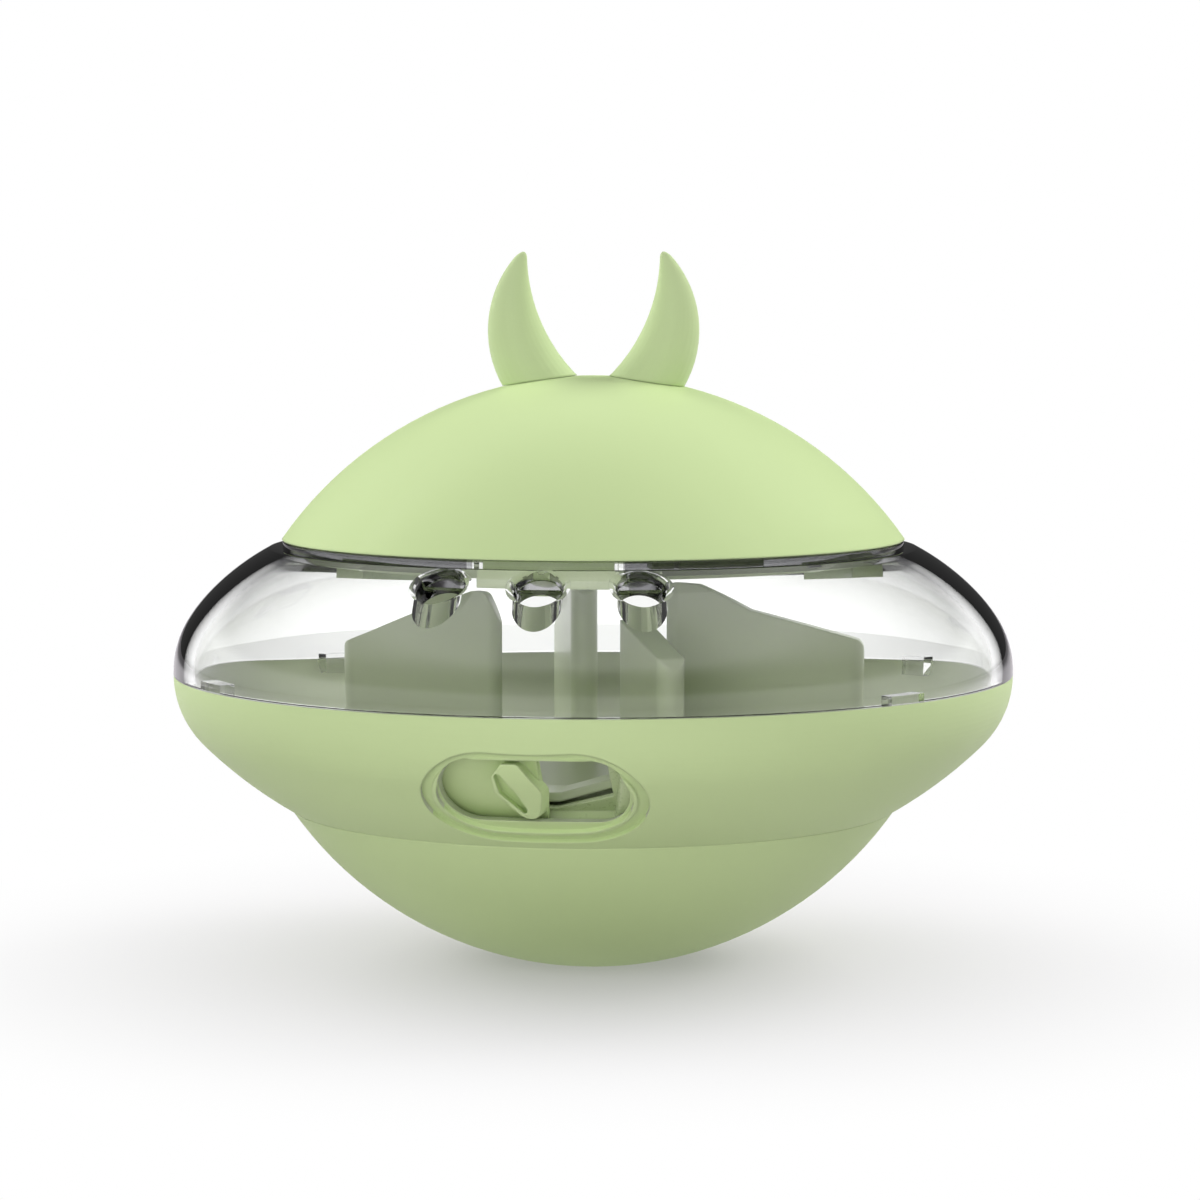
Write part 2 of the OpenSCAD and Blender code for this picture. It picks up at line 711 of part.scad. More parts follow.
// Lid seal: a flat ring that lies on the collar, in the groove of the dome
module lid_seal() {
    color(rubber) translate([0, 0, collar_top]) difference() {
        cylinder(r = seal_r + seal_w / 2, h = seal_t);
        translate([0, 0, -overrun]) cylinder(r = seal_r - seal_w / 2, h = seal_t + 2 * overrun);
    }
}

// Lid dome: the cap of the toy, with bosses for the lock ring and flats under the horns
module lid_dome() {
    color(sage) difference() {
        intersection() {
            translate([0, 0, dome_z]) sphere(r = dome_r);
            translate([0, 0, dome_edge_z]) cylinder(r = dome_r, h = dome_rise + overrun);
        }
        difference() {
            translate([0, 0, dome_z]) sphere(r = dome_r - shell_wall);
            ring_of(3, lock_screw_turn) out(lock_screw_r, dome_edge_z + lock_ring_t)
                cylinder(d = small_d + 2 * post_wall, h = dome_rise);
            at_horns(dome_height(horn_screw_x + horn_boss_d / 2, shell_wall))
                cylinder(d = horn_boss_d, h = shell_wall * 2);
        }
        ring_of(3, lock_screw_turn) out(lock_screw_r, dome_edge_z + lock_ring_t)
            rotate([180, 0, 0]) pilot(small_d, lock_screw_len - lock_ring_t);
        at_horns(dome_edge_z) cylinder(d = screw_d + 2 * seat_gap, h = dome_rise + overrun);
        translate([0, 0, dome_edge_z - overrun]) difference() {
            cylinder(r = seal_r + seal_w / 2 + seal_side_gap, h = seal_t - lid_gap + overrun);
            translate([0, 0, -overrun])
                cylinder(r = seal_r - seal_w / 2 - seal_side_gap, h = seal_t + 2 * overrun);
        }
    }
}

// Section of what hangs from the lock ring's rim down through the mouth: down to a height, with a
// hook that reaches out under the collar or, for a reach of no length, without one
module rim_drop(foot, reach) {
    hook_top = collar_under - lid_gap;
    polygon(concat([[lug_r - lug_t, foot], [lug_r + reach, foot]],
        reach > 0 ? [[lug_r + reach, hook_top], [lug_r, hook_top]] : [],
        [[lug_r, dome_edge_z - lid_gap], [lock_ring_r, dome_edge_z + lid_gap],
         [lug_r - lug_t, dome_edge_z + lock_ring_t / 2]]));
}

// Lock ring: the plate under the dome with three bayonet lugs and three centring pads
module lid_lock_ring() {
    lug_foot = collar_top - lug_drop;
    color(sage_dark) difference() {
        union() {
            translate([0, 0, dome_edge_z])
                cylinder(r1 = dome_bore(dome_edge_z), r2 = lock_ring_r, h = lock_ring_t);
            ring_of(3) turned(-lug_half_turn, lug_half_turn) rim_drop(lug_foot, bore_gap + hook_reach);
            ring_of(3, pad_turn) difference() {
                turned(-pad_half_turn, pad_half_turn) rim_drop(dome_edge_z - pad_h, 0);
                around(pad_slit_turn - pad_turn)
                    translate([-pad_slit / 2, -mouth_r, dome_edge_z - pad_h - overrun])
                    cube([pad_slit, lug_t + overrun, pad_h + overrun]);
            }
        }
        translate([0, 0, dome_edge_z - overrun])
            cylinder(r = lock_ring_bore, h = lock_ring_t + 2 * overrun);
        ring_of(3, lock_screw_turn) out(lock_screw_r, dome_edge_z - overrun)
            cylinder(d = small_d + 2 * seat_gap, h = lock_ring_t + 2 * overrun);
    }
}

// Lock ring screws: three, up through the lock ring into the dome's bosses
module lock_ring_screws() {
    color(steel) ring_of(3, lock_screw_turn) out(lock_screw_r, dome_edge_z)
        rotate([180, 0, 0]) screw(small_d, small_head_d, small_head_h, lock_screw_len);
}

// Both horn places, at a height
module at_horns(z) { for (side = [-1, 1]) translate([side * horn_screw_x, 0, z]) children(); }

// Front view of the right horn: how far its back and its front edge stand from the middle
function horn_back_x(h) = sqrt(pow(horn_back_r, 2) - pow(h - horn_back[1], 2)) - horn_back[0];
function horn_front_x(h) = sqrt(pow(horn_front_r, 2) - pow(h - horn_front[1], 2)) - horn_front[0];
function horn_height(i) = horn_foot + (horn_rise - horn_foot) * sin(90 * i / horn_steps);
// The last stretch is rounded off to a small blunt tip
function tip_share(h) = sqrt(1 - tip_fullness * pow(max(0, 1 - (horn_rise - h) / tip_round), 2));
function horn_ring(h) = [for (k = [0 : horn_sides - 1])
    let (half = (horn_back_x(h) - horn_front_x(h)) / 2 * tip_share(h))
    [(horn_back_x(h) + horn_front_x(h)) / 2 + half * cos(360 * k / horn_sides),
     half * horn_depth_share * sin(360 * k / horn_sides), dome_top + h]];

// A horn: flat rings stacked from the foot to the tip, cut to sit on the dome
module horn() {
    rings = [for (i = [0 : horn_steps]) horn_ring(horn_height(i))];
    points = [for (ring = rings) each ring];
    sides = [for (i = [0 : horn_steps - 1], k = [0 : horn_sides - 1])
        let (next = (k + 1) % horn_sides)
        [i * horn_sides + k, (i + 1) * horn_sides + k, (i + 1) * horn_sides + next,
         i * horn_sides + next]];
    foot_face = [[for (k = [0 : horn_sides - 1]) k]];
    tip_face = [[for (k = [horn_sides - 1 : -1 : 0]) horn_steps * horn_sides + k]];
    difference() {
        polyhedron(points, concat(sides, foot_face, tip_face));
        translate([0, 0, dome_z]) sphere(r = dome_r + seat_gap);
        translate([horn_screw_x, 0, horn_seat() - washer_t])
            cylinder(d = screw_d + 2 * seat_gap, h = horn_screw_len + horn_pilot_spare);
    }
}

// Left and right horn, soft and slightly hooked
module left_horn() { color(sage) mirror([1, 0, 0]) horn(); }
module right_horn() { color(sage) horn(); }

// Horn washers and screws: up through the dome into the horns
module horn_washers() {
    color(steel) at_horns(horn_seat() - washer_t) difference() {
        cylinder(d = washer_d, h = washer_t);
        translate([0, 0, -overrun])
            cylinder(d = screw_d + 2 * seat_gap, h = washer_t + 2 * overrun);
    }
}
module horn_screws() {
    color(steel) at_horns(horn_seat() - washer_t) rotate([180, 0, 0])
        screw(screw_d, screw_head_d, screw_head_h, horn_screw_len);
}
function horn_seat() = dome_height(horn_screw_x + horn_boss_d / 2, shell_wall);

base_bowl();
counterweight();
weight_clamp();
weight_screws();
lower_shell();
base_screws();
treat_tray();
tray_screws();
outlet_gate();
gate_rail();
gate_rail_screws();
window_ring();
lid_seal();
lid_dome();
lid_lock_ring();
lock_ring_screws();
left_horn();
right_horn();
horn_washers();
horn_screws();
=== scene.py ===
# %% [markdown]
# # A wobble treat toy
# The toy is a saucer 120 mm wide. It has a rounded, weighted bowl below, a clear ring through which
# the treats can be seen, and a lid with two soft horns. The solids come from the construction model,
# so this script gives them their finishes, makes the screws and the clear ring anew because they need
# more than a plain solid, and sets up the studio.

import math

import bmesh
import bpy
import numpy as np
from mathutils import Matrix, Vector
from mathutils.kdtree import KDTree


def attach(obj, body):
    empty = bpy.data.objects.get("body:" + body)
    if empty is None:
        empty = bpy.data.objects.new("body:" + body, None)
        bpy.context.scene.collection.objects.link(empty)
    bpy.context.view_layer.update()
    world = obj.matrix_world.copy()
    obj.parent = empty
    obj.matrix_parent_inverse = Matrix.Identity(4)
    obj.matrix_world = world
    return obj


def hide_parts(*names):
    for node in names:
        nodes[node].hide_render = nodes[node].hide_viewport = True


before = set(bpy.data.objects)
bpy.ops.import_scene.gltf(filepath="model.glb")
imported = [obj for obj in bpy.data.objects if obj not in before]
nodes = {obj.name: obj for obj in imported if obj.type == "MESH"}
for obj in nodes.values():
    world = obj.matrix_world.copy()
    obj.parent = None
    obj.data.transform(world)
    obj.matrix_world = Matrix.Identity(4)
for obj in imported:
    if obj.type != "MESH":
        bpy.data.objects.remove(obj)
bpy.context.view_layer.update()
MM = 0.001

# %% [markdown]
# ## Camera
# The picture was taken a little from the toy's right, from just above the lid, through a long lens.
# A long lens keeps the ring's ellipse flat. The place and the lens were found by fitting circles of
# the toy to the picture. The shift moves the picture a little sideways, as its framing needs.

# %% Camera
CAMERA_TURN = math.radians(8.4)
CAMERA_PITCH = math.radians(5.04)
CAMERA_REACH = 518 * MM
CAMERA_HEIGHT = 97.3 * MM
LENS, SENSOR = 108.6, 36
SHIFT_SHARE = 0.0056

camera_data = bpy.data.cameras.new("studio_camera")
camera_data.lens = LENS
camera_data.sensor_width = SENSOR
camera_data.shift_x = SHIFT_SHARE
camera = bpy.data.objects.new("studio_camera", camera_data)
camera.location = (
    CAMERA_REACH * math.sin(CAMERA_TURN),
    -CAMERA_REACH * math.cos(CAMERA_TURN),
    CAMERA_HEIGHT,
)
camera.rotation_euler = (math.pi / 2 - CAMERA_PITCH, 0, CAMERA_TURN)
bpy.context.scene.collection.objects.link(camera)
bpy.context.scene.camera = camera
print("camera at mm:", [round(v / MM) for v in camera.location], "lens in mm:", LENS)

# %% [markdown]
# ## Small helpers for node trees
# Every finish below is a tree of nodes. Three short helpers keep the trees readable: one adds a node
# and sets its values, one joins an output to an input, and one starts a node group.


# %% Node helpers
def add_node(tree, kind, values=None, **settings):
    """Adds a node, sets its own settings by keyword and its input values by socket name."""
    node = tree.nodes.new(kind)
    for key, value in settings.items():
        setattr(node, key, value)
    for key, value in (values or {}).items():
        node.inputs[key].default_value = value
    return node


def join(tree, source, target):
    """Joins an output socket to an input socket."""
    tree.links.new(source, target)


def new_group(name, kind, inputs, outputs):
    """Starts a node group. Inputs are (name, socket type, value), outputs are (name, socket type)."""
    group = bpy.data.node_groups.new(name, kind)
    for title, socket, value in inputs:
        made = group.interface.new_socket(name=title, in_out="INPUT", socket_type=socket)
        if value is not None:
            made.default_value = value
    for title, socket in outputs:
        group.interface.new_socket(name=title, in_out="OUTPUT", socket_type=socket)
    return group, group.nodes.new("NodeGroupInput"), group.nodes.new("NodeGroupOutput")


# %% [markdown]
# ## Softened edges
# A moulded edge is never a razor line: it has a radius of a few tenths of a millimetre that catches
# the light, and it is rubbed a little paler where it is handled. The solids have plain edges, so the
# Bevel node bends the normal there. Where the bent normal leaves the true one, there is an edge, and
# the same node so gives the mask for the rubbing.

# %% Group: softened edges
EDGE_STARTS, EDGE_FULL = 0.995, 0.85
edges, edges_in, edges_out = new_group(
    "Softened edges",
    "ShaderNodeTree",
    [("Radius", "NodeSocketFloat", 0.4 * MM), ("Rub", "NodeSocketFloat", 1.0)],
    [("Normal", "NodeSocketVector"), ("Mask", "NodeSocketFloat")],
)
soft_normal = add_node(edges, "ShaderNodeBevel", samples=6)
true_normal = add_node(edges, "ShaderNodeNewGeometry")
agree = add_node(edges, "ShaderNodeVectorMath", operation="DOT_PRODUCT")
edge_amount = add_node(
    edges,
    "ShaderNodeMapRange",
    {"From Min": EDGE_STARTS, "From Max": EDGE_FULL, "To Min": 0.0, "To Max": 1.0},
)
rub_amount = add_node(edges, "ShaderNodeMath", operation="MULTIPLY", use_clamp=True)
join(edges, edges_in.outputs["Radius"], soft_normal.inputs["Radius"])
join(edges, soft_normal.outputs["Normal"], agree.inputs[0])
join(edges, true_normal.outputs["Normal"], agree.inputs[1])
join(edges, agree.outputs["Value"], edge_amount.inputs["Value"])
join(edges, edge_amount.outputs["Result"], rub_amount.inputs[0])
join(edges, edges_in.outputs["Rub"], rub_amount.inputs[1])
join(edges, soft_normal.outputs["Normal"], edges_out.inputs["Normal"])
join(edges, rub_amount.outputs["Value"], edges_out.inputs["Mask"])

# %% [markdown]
# ## Moulded grain
# Injection-moulded plastic copies the fine spark texture of its mould, and its colour drifts very
# slightly where the melt flowed. One fine noise makes the grain, one broad noise the drift. Both read
# Object coordinates, so they stay on the piece when it moves.

# %% Group: moulded grain
DRIFTS_PER_METRE = 28.0
PALER_WHERE_RUBBED = 0.35
grain, grain_in, grain_out = new_group(
    "Moulded grain",
    "ShaderNodeTree",
    [
        ("Color", "NodeSocketColor", (0.6, 0.7, 0.4, 1)),
        ("Drift", "NodeSocketFloat", 0.04),
        ("Grain per metre", "NodeSocketFloat", 3500.0),
        ("Roughness", "NodeSocketFloat", 0.45),
        ("Roughness spread", "NodeSocketFloat", 0.08),
        ("Rubbed", "NodeSocketFloat", 0.0),
    ],
    [("Color", "NodeSocketColor"), ("Roughness", "NodeSocketFloat"), ("Height", "NodeSocketFloat")],
)
grain_place = add_node(grain, "ShaderNodeTexCoord")
fine = add_node(grain, "ShaderNodeTexNoise", {"Detail": 3.0, "Roughness": 0.6})
broad = add_node(grain, "ShaderNodeTexNoise", {"Scale": DRIFTS_PER_METRE, "Detail": 2.0})
drift = add_node(grain, "ShaderNodeMapRange", {"To Min": -1.0, "To Max": 1.0})
drift_share = add_node(grain, "ShaderNodeMath", operation="MULTIPLY")
brighter = add_node(grain, "ShaderNodeMath", {1: 1.0}, operation="ADD")
shade = add_node(grain, "ShaderNodeVectorMath", operation="SCALE")
rub_mix = add_node(grain, "ShaderNodeMix", data_type="RGBA", blend_type="SCREEN")
rub_share = add_node(grain, "ShaderNodeMath", {1: PALER_WHERE_RUBBED}, operation="MULTIPLY")
rough_shift = add_node(grain, "ShaderNodeMath", {1: 0.5}, operation="SUBTRACT")
rough_sum = add_node(grain, "ShaderNodeMath", operation="MULTIPLY_ADD", use_clamp=True)
join(grain, grain_place.outputs["Object"], fine.inputs["Vector"])
join(grain, grain_place.outputs["Object"], broad.inputs["Vector"])
join(grain, grain_in.outputs["Grain per metre"], fine.inputs["Scale"])
join(grain, broad.outputs["Fac"], drift.inputs["Value"])
join(grain, drift.outputs["Result"], drift_share.inputs[0])
join(grain, grain_in.outputs["Drift"], drift_share.inputs[1])
join(grain, drift_share.outputs["Value"], brighter.inputs[0])
join(grain, grain_in.outputs["Color"], shade.inputs[0])
join(grain, brighter.outputs["Value"], shade.inputs["Scale"])
join(grain, grain_in.outputs["Rubbed"], rub_share.inputs[0])
join(grain, rub_share.outputs["Value"], rub_mix.inputs["Factor"])
join(grain, shade.outputs["Vector"], rub_mix.inputs["A"])
join(grain, grain_in.outputs["Color"], rub_mix.inputs["B"])
join(grain, fine.outputs["Fac"], rough_shift.inputs[0])
join(grain, rough_shift.outputs["Value"], rough_sum.inputs[0])
join(grain, grain_in.outputs["Roughness spread"], rough_sum.inputs[1])
join(grain, grain_in.outputs["Roughness"], rough_sum.inputs[2])
join(grain, rub_mix.outputs["Result"], grain_out.inputs["Color"])
join(grain, rough_sum.outputs["Value"], grain_out.inputs["Roughness"])
join(grain, fine.outputs["Fac"], grain_out.inputs["Height"])

# %% [markdown]
# ## Which way a face looks
# Two finishes paint shade by which way a face looks: the lower shell's inward faces are painted darker
# and greyer, and the clear ring's dark edge is painted only on its outer face. This group compares the
# way a face looks with the way out from the toy's middle axis: above zero the face looks outwards, below
# zero it looks in.

# %% Group: looks outwards
outlook, _, outlook_out = new_group(
    "Looks outwards", "ShaderNodeTree", [], [("Amount", "NodeSocketFloat")]
)
wall_place = add_node(outlook, "ShaderNodeTexCoord")
way_out = add_node(outlook, "ShaderNodeVectorMath", {1: (1, 1, 0)}, operation="MULTIPLY")
outwards = add_node(outlook, "ShaderNodeVectorMath", operation="DOT_PRODUCT")
join(outlook, wall_place.outputs["Object"], way_out.inputs[0])
join(outlook, way_out.outputs["Vector"], outwards.inputs[0])
join(outlook, wall_place.outputs["Normal"], outwards.inputs[1])
join(outlook, outwards.outputs["Value"], outlook_out.inputs["Amount"])
print("node groups:", [group.name for group in (edges, grain, outlook)])

# %% [markdown]
# ## Finishes
# All the opaque pieces share one recipe: the groups feed a Principled shader, and each finish sets its
# own colour, gloss and grain. Satin sage plastic is outside, a glossier one inside, soft silicone on
# the horns and the seal, zinc on the screws and bare cast iron on the weight. The lower shell's inward
# faces are painted greyer and darker than its outside, as painted shade.

# %% Recipe for an opaque finish
MICROMETRE = 1e-6
LOOKS_IN = 0.002


def opaque(name, color, rough, spread, drift_by, grain_scale, bump, edge, rub, inside=None, **shader):
    """A finish with soft edges and a fine grain. Edge is in millimetres, bump in micrometres.

    Inside, where given, is a darker color painted as shade on the faces that look towards the middle axis.
    """
    made = bpy.data.materials.new(name)
    made.use_nodes = True
    tree = made.node_tree
    surface = tree.nodes["Principled BSDF"]
    for key, value in shader.items():
        surface.inputs[key.replace("_", " ")].default_value = value
    soft = add_node(tree, "ShaderNodeGroup", node_tree=edges)
    soft.inputs["Radius"].default_value = edge * MM
    soft.inputs["Rub"].default_value = rub
    skin = add_node(tree, "ShaderNodeGroup", node_tree=grain)
    skin.inputs["Color"].default_value = (*color, 1)
    skin.inputs["Drift"].default_value = drift_by
    skin.inputs["Grain per metre"].default_value = grain_scale
    skin.inputs["Roughness"].default_value = rough
    skin.inputs["Roughness spread"].default_value = spread
    relief = add_node(tree, "ShaderNodeBump", {"Strength": 1.0, "Distance": bump * MICROMETRE})
    # Painted shade: faces that look towards the middle axis take the darker inside color.
    if inside is not None:
        look = add_node(tree, "ShaderNodeGroup", node_tree=outlook)
        looks_in = add_node(tree, "ShaderNodeMath", {1: LOOKS_IN}, operation="LESS_THAN")
        inside_shade_mix = add_node(tree, "ShaderNodeMix", data_type="RGBA")
        inside_shade_mix.inputs["A"].default_value = (*color, 1)
        inside_shade_mix.inputs["B"].default_value = (*inside, 1)
        join(tree, look.outputs["Amount"], looks_in.inputs[0])
        join(tree, looks_in.outputs["Value"], inside_shade_mix.inputs["Factor"])
        join(tree, inside_shade_mix.outputs["Result"], skin.inputs["Color"])
    join(tree, soft.outputs["Mask"], skin.inputs["Rubbed"])
    join(tree, skin.outputs["Color"], surface.inputs["Base Color"])
    join(tree, skin.outputs["Roughness"], surface.inputs["Roughness"])
    join(tree, skin.outputs["Height"], relief.inputs["Height"])
    join(tree, soft.outputs["Normal"], relief.inputs["Normal"])
    join(tree, relief.outputs["Normal"], surface.inputs["Normal"])
    return made


# %% The opaque finishes
SAGE = (0.590, 0.735, 0.360)
# Darker, greyer sage painted on the lower shell's inward faces as shade
SHELL_INSIDE_SHADE = (0.55, 0.595, 0.455)
INNER_SAGE = (0.56, 0.66, 0.385)
TRAY_SAGE = (0.53, 0.585, 0.42)
HORN_SAGE = (0.565, 0.695, 0.36)
SEAL_SAGE = (0.43, 0.52, 0.29)
ZINC_GREY = (0.62, 0.63, 0.64)
IRON_GREY = (0.12, 0.125, 0.13)
SATIN = {
    "rough": 0.48, "spread": 0.10, "drift_by": 0.02, "grain_scale": 2600, "bump": 6, "edge": 0.4, "rub": 0.6,
}
GLOSSY = {
    "spread": 0.06, "drift_by": 0.03, "grain_scale": 1800, "bump": 3, "edge": 0.5, "rub": 0.8,
    "Coat_Weight": 0.15, "Coat_Roughness": 0.1,
}
SILKY = {
    "rough": 0.55, "spread": 0.06, "drift_by": 0.03, "grain_scale": 4200, "bump": 8, "edge": 0.5, "rub": 0.3,
    "Sheen_Weight": 0.12, "Sheen_Roughness": 0.4,
}
DULL = {
    "rough": 0.6, "spread": 0.05, "drift_by": 0.04, "grain_scale": 4200, "bump": 8, "edge": 0.15, "rub": 0.2,
}
PLATED = {
    "rough": 0.3, "spread": 0.14, "drift_by": 0.06, "grain_scale": 5200, "bump": 4, "edge": 0.15, "rub": 0.8,
    "Metallic": 1.0,
}
RAW_CAST = {
    "rough": 0.62, "spread": 0.2, "drift_by": 0.12, "grain_scale": 900, "bump": 60, "edge": 0.5, "rub": 1.0,
    "Metallic": 0.9,
}
sage_satin = opaque("sage_satin", SAGE, **SATIN)
sage_shell_shaded_inside = opaque("sage_shell_shaded_inside", SAGE, inside=SHELL_INSIDE_SHADE, **SATIN)
sage_gloss = opaque("sage_gloss", INNER_SAGE, rough=0.28, **GLOSSY)
sage_tray = opaque("sage_tray", TRAY_SAGE, rough=0.3, **GLOSSY)
silicone = opaque("sage_silicone", HORN_SAGE, **SILKY)
seal_rubber = opaque("seal_rubber", SEAL_SAGE, **DULL)
zinc = opaque("zinc_plate", ZINC_GREY, **PLATED)
iron = opaque("cast_iron", IRON_GREY, **RAW_CAST)
opaque_finishes = (sage_satin, sage_shell_shaded_inside, sage_gloss, sage_tray, silicone, seal_rubber, zinc, iron)
print("opaque finishes:", [finish.name for finish in opaque_finishes])

# %% [markdown]
# ## Clear ring
# The ring is polished clear acrylic. The shader lets shadow rays and bounced light pass straight
# through, because light that bends through glass would otherwise have to be found by chance and the
# inside would stay dark.
# Where the wall's outer face is seen nearly edge on, its tint is painted black: a painted dark edge.
# A second version of the same finish, with a dark grey tint, goes on the collar and in the holes as
# painted shade.


# %% Clear finishes
ACRYLIC_IOR = 1.5
# How edge on the outer face must be seen before the painted dark edge starts, and where it is full
DARK_FROM, DARK_TO = 0.71, 0.78
SMEARS_PER_METRE, SMEAR_ROUGHNESS = 60.0, 0.03
CLEAR_TINT = (0.985, 0.99, 0.985)
# Dark grey tint that paints shade on the collar and in the holes
PAINTED_SHADE_TINT = (0.2, 0.2, 0.21)
SHADOW_TINT = (0.88, 0.88, 0.88)


def clear_finish(name, tint):
    """Clear plastic with a tint, painted dark where its outer face is seen edge on, with a few faint smears.
    """
    made = bpy.data.materials.new(name)
    made.use_nodes = True
    tree = made.node_tree
    glass = tree.nodes["Principled BSDF"]
    glass.inputs["Transmission Weight"].default_value = 1.0
    glass.inputs["IOR"].default_value = ACRYLIC_IOR
    smear_place = add_node(tree, "ShaderNodeTexCoord")
    smear = add_node(
        tree, "ShaderNodeTexNoise", {"Scale": SMEARS_PER_METRE, "Detail": 4.0, "Roughness": 0.7}
    )
    smear_rough = add_node(
        tree,
        "ShaderNodeMapRange",
        {"From Min": 0.45, "From Max": 0.8, "To Min": 0.0, "To Max": SMEAR_ROUGHNESS},
    )
    # Painted dark edge: the tint turns black on the outer face where it is seen edge on
    slant = add_node(tree, "ShaderNodeLayerWeight", {"Blend": 0.5})
    edge_shade_ramp = add_node(tree, "ShaderNodeMapRange", {"From Min": DARK_FROM, "From Max": DARK_TO})
    look = add_node(tree, "ShaderNodeGroup", node_tree=outlook)
    outer_face = add_node(tree, "ShaderNodeMath", {1: 0.0}, operation="GREATER_THAN")
    edge_share = add_node(tree, "ShaderNodeMath", operation="MULTIPLY")
    painted_edge_shade = add_node(tree, "ShaderNodeMix", data_type="RGBA")
    painted_edge_shade.inputs["A"].default_value = (*tint, 1)
    painted_edge_shade.inputs["B"].default_value = (0, 0, 0, 1)
    see_through = add_node(tree, "ShaderNodeBsdfTransparent", {"Color": (*SHADOW_TINT, 1)})
    ray = add_node(tree, "ShaderNodeLightPath")
    straight = add_node(tree, "ShaderNodeMath", operation="MAXIMUM")
    pass_light = add_node(tree, "ShaderNodeMixShader")
    join(tree, slant.outputs["Facing"], edge_shade_ramp.inputs["Value"])
    join(tree, look.outputs["Amount"], outer_face.inputs[0])
    join(tree, edge_shade_ramp.outputs["Result"], edge_share.inputs[0])
    join(tree, outer_face.outputs["Value"], edge_share.inputs[1])
    join(tree, edge_share.outputs["Value"], painted_edge_shade.inputs["Factor"])
    join(tree, painted_edge_shade.outputs["Result"], glass.inputs["Base Color"])
    join(tree, smear_place.outputs["Object"], smear.inputs["Vector"])
    join(tree, smear.outputs["Fac"], smear_rough.inputs["Value"])
    join(tree, smear_rough.outputs["Result"], glass.inputs["Roughness"])
    join(tree, ray.outputs["Is Shadow Ray"], straight.inputs[0])
    join(tree, ray.outputs["Is Diffuse Ray"], straight.inputs[1])
    join(tree, straight.outputs["Value"], pass_light.inputs["Fac"])
    join(tree, glass.outputs["BSDF"], pass_light.inputs[1])
    join(tree, see_through.outputs["BSDF"], pass_light.inputs[2])
    join(tree, pass_light.outputs["Shader"], tree.nodes["Material Output"].inputs["Surface"])
    return made


clear = clear_finish("clear_acrylic", CLEAR_TINT)
shaded_clear = clear_finish("clear_acrylic_painted_shade", PAINTED_SHADE_TINT)
print("clear finishes:", [clear.name, shaded_clear.name])

# %% [markdown]
# ## Finishes on the construction solids
# A solid whose shape is right stays and only gets its finish. The plain ring gets one as well,
# although the smooth ring below takes its place.

# %% Put the finishes on
FINISH_OF = {
    "base_bowl": sage_satin,
    "counterweight": iron,
    "weight_clamp": sage_gloss,
    "lower_shell": sage_shell_shaded_inside,
    "treat_tray": sage_tray,
    "outlet_gate": sage_satin,
    "gate_rail": sage_gloss,
    "window_ring": clear,
    "lid_seal": seal_rubber,
    "lid_dome": sage_satin,
    "lid_lock_ring": sage_gloss,
    "left_horn": silicone,
    "right_horn": silicone,
    "horn_washers": zinc,
}
for name, finish in FINISH_OF.items():
    nodes[name].data.materials.clear()
    nodes[name].data.materials.append(finish)
print("finished solids:", len(FINISH_OF))

# %% [markdown]
# ## Screws
# Six groups of screws hold the toy together. Each screw is turned once as a mesh with its thread and
# its cross recess, and a small Geometry Nodes tree puts a copy on each seat. The seats are read off
# the construction model's plain screws, so the copies stand exactly where those are.


# %% Where the plain screws stand
SAME_PLACE_DIGITS = 7
CROWN_EDGE_SHARE = 0.98


def islands(node_name):
    """The separate solids of a construction node, each as an array of its points."""
    mesh = nodes[node_name].data
    points = np.array([v.co for v in mesh.vertices])
    keys = {}
    owner = []
    for point in points.round(SAME_PLACE_DIGITS):
        owner.append(keys.setdefault(tuple(point), len(keys)))
    parent = list(range(len(keys)))

    def root(i):
        while parent[i] != i:
            parent[i] = parent[parent[i]]
            i = parent[i]
        return i

    for face in mesh.polygons:
        first = root(owner[face.vertices[0]])
        for vertex in face.vertices[1:]:
            parent[root(owner[vertex])] = first
    groups = {}
    for index, key in enumerate(owner):
        groups.setdefault(root(key), []).append(index)
    return [points[members] for members in groups.values()]


def seat_of(points):
    """Middle of a plain screw's crown and the direction its head faces."""
    middle = points.mean(axis=0)
    spread = np.cov((points - middle).T)
    axis = np.linalg.eigh(spread)[1][:, 2]
    along = (points - middle) @ axis
    width = np.linalg.norm((points - middle) - np.outer(along, axis), axis=1)
    if along[width.argmax()] < (along.max() + along.min()) / 2:
        axis, along = -axis, -along
    ring = points[width > width.max() * CROWN_EDGE_SHARE]
    centre = (ring.max(axis=0) + ring.min(axis=0)) / 2
    foot = (centre - middle) @ axis
    return centre + axis * (along.max() - foot), axis


# %% One turned screw
SCREW_SIDES, ROWS_A_PITCH = 28, 6
# Shares of the shank's width
THREAD_DEPTH_SHARE = 0.16
TIP_WIDTH_SHARE, TIP_LENGTH_SHARE, THREAD_START_SHARE = 0.3, 0.35, 0.6
# Plain neck under the head, and the head's rim and chamfers, in millimetres
ROUND_NECK, SUNK_NECK = 0.2, 0.1
SUNK_RIM, SUNK_CHAMFER, ROUND_CHAMFER = 0.12, 0.1, 0.08
# A round head from its rim to its crown: shares of its width, and of its height below the crown
DOME_SHARES = [(0.5, 0.55), (0.46, 0.3), (0.36, 0.08), (0.25, 0.01)]


def head_rows(shank, head, head_height, sunk):
    """The head's outline from the shank up: radius, height and no thread."""
    rows = [(shank / 2, -head_height, 0)]
    if sunk:
        return rows + [(head / 2, -SUNK_RIM, 0), (head / 2 - SUNK_CHAMFER, 0.0, 0)]
    rows += [(head / 2 - ROUND_CHAMFER, -head_height, 0), (head / 2, -head_height + ROUND_CHAMFER, 0)]
    return rows + [(out * head, -down * head_height, 0) for out, down in DOME_SHARES]


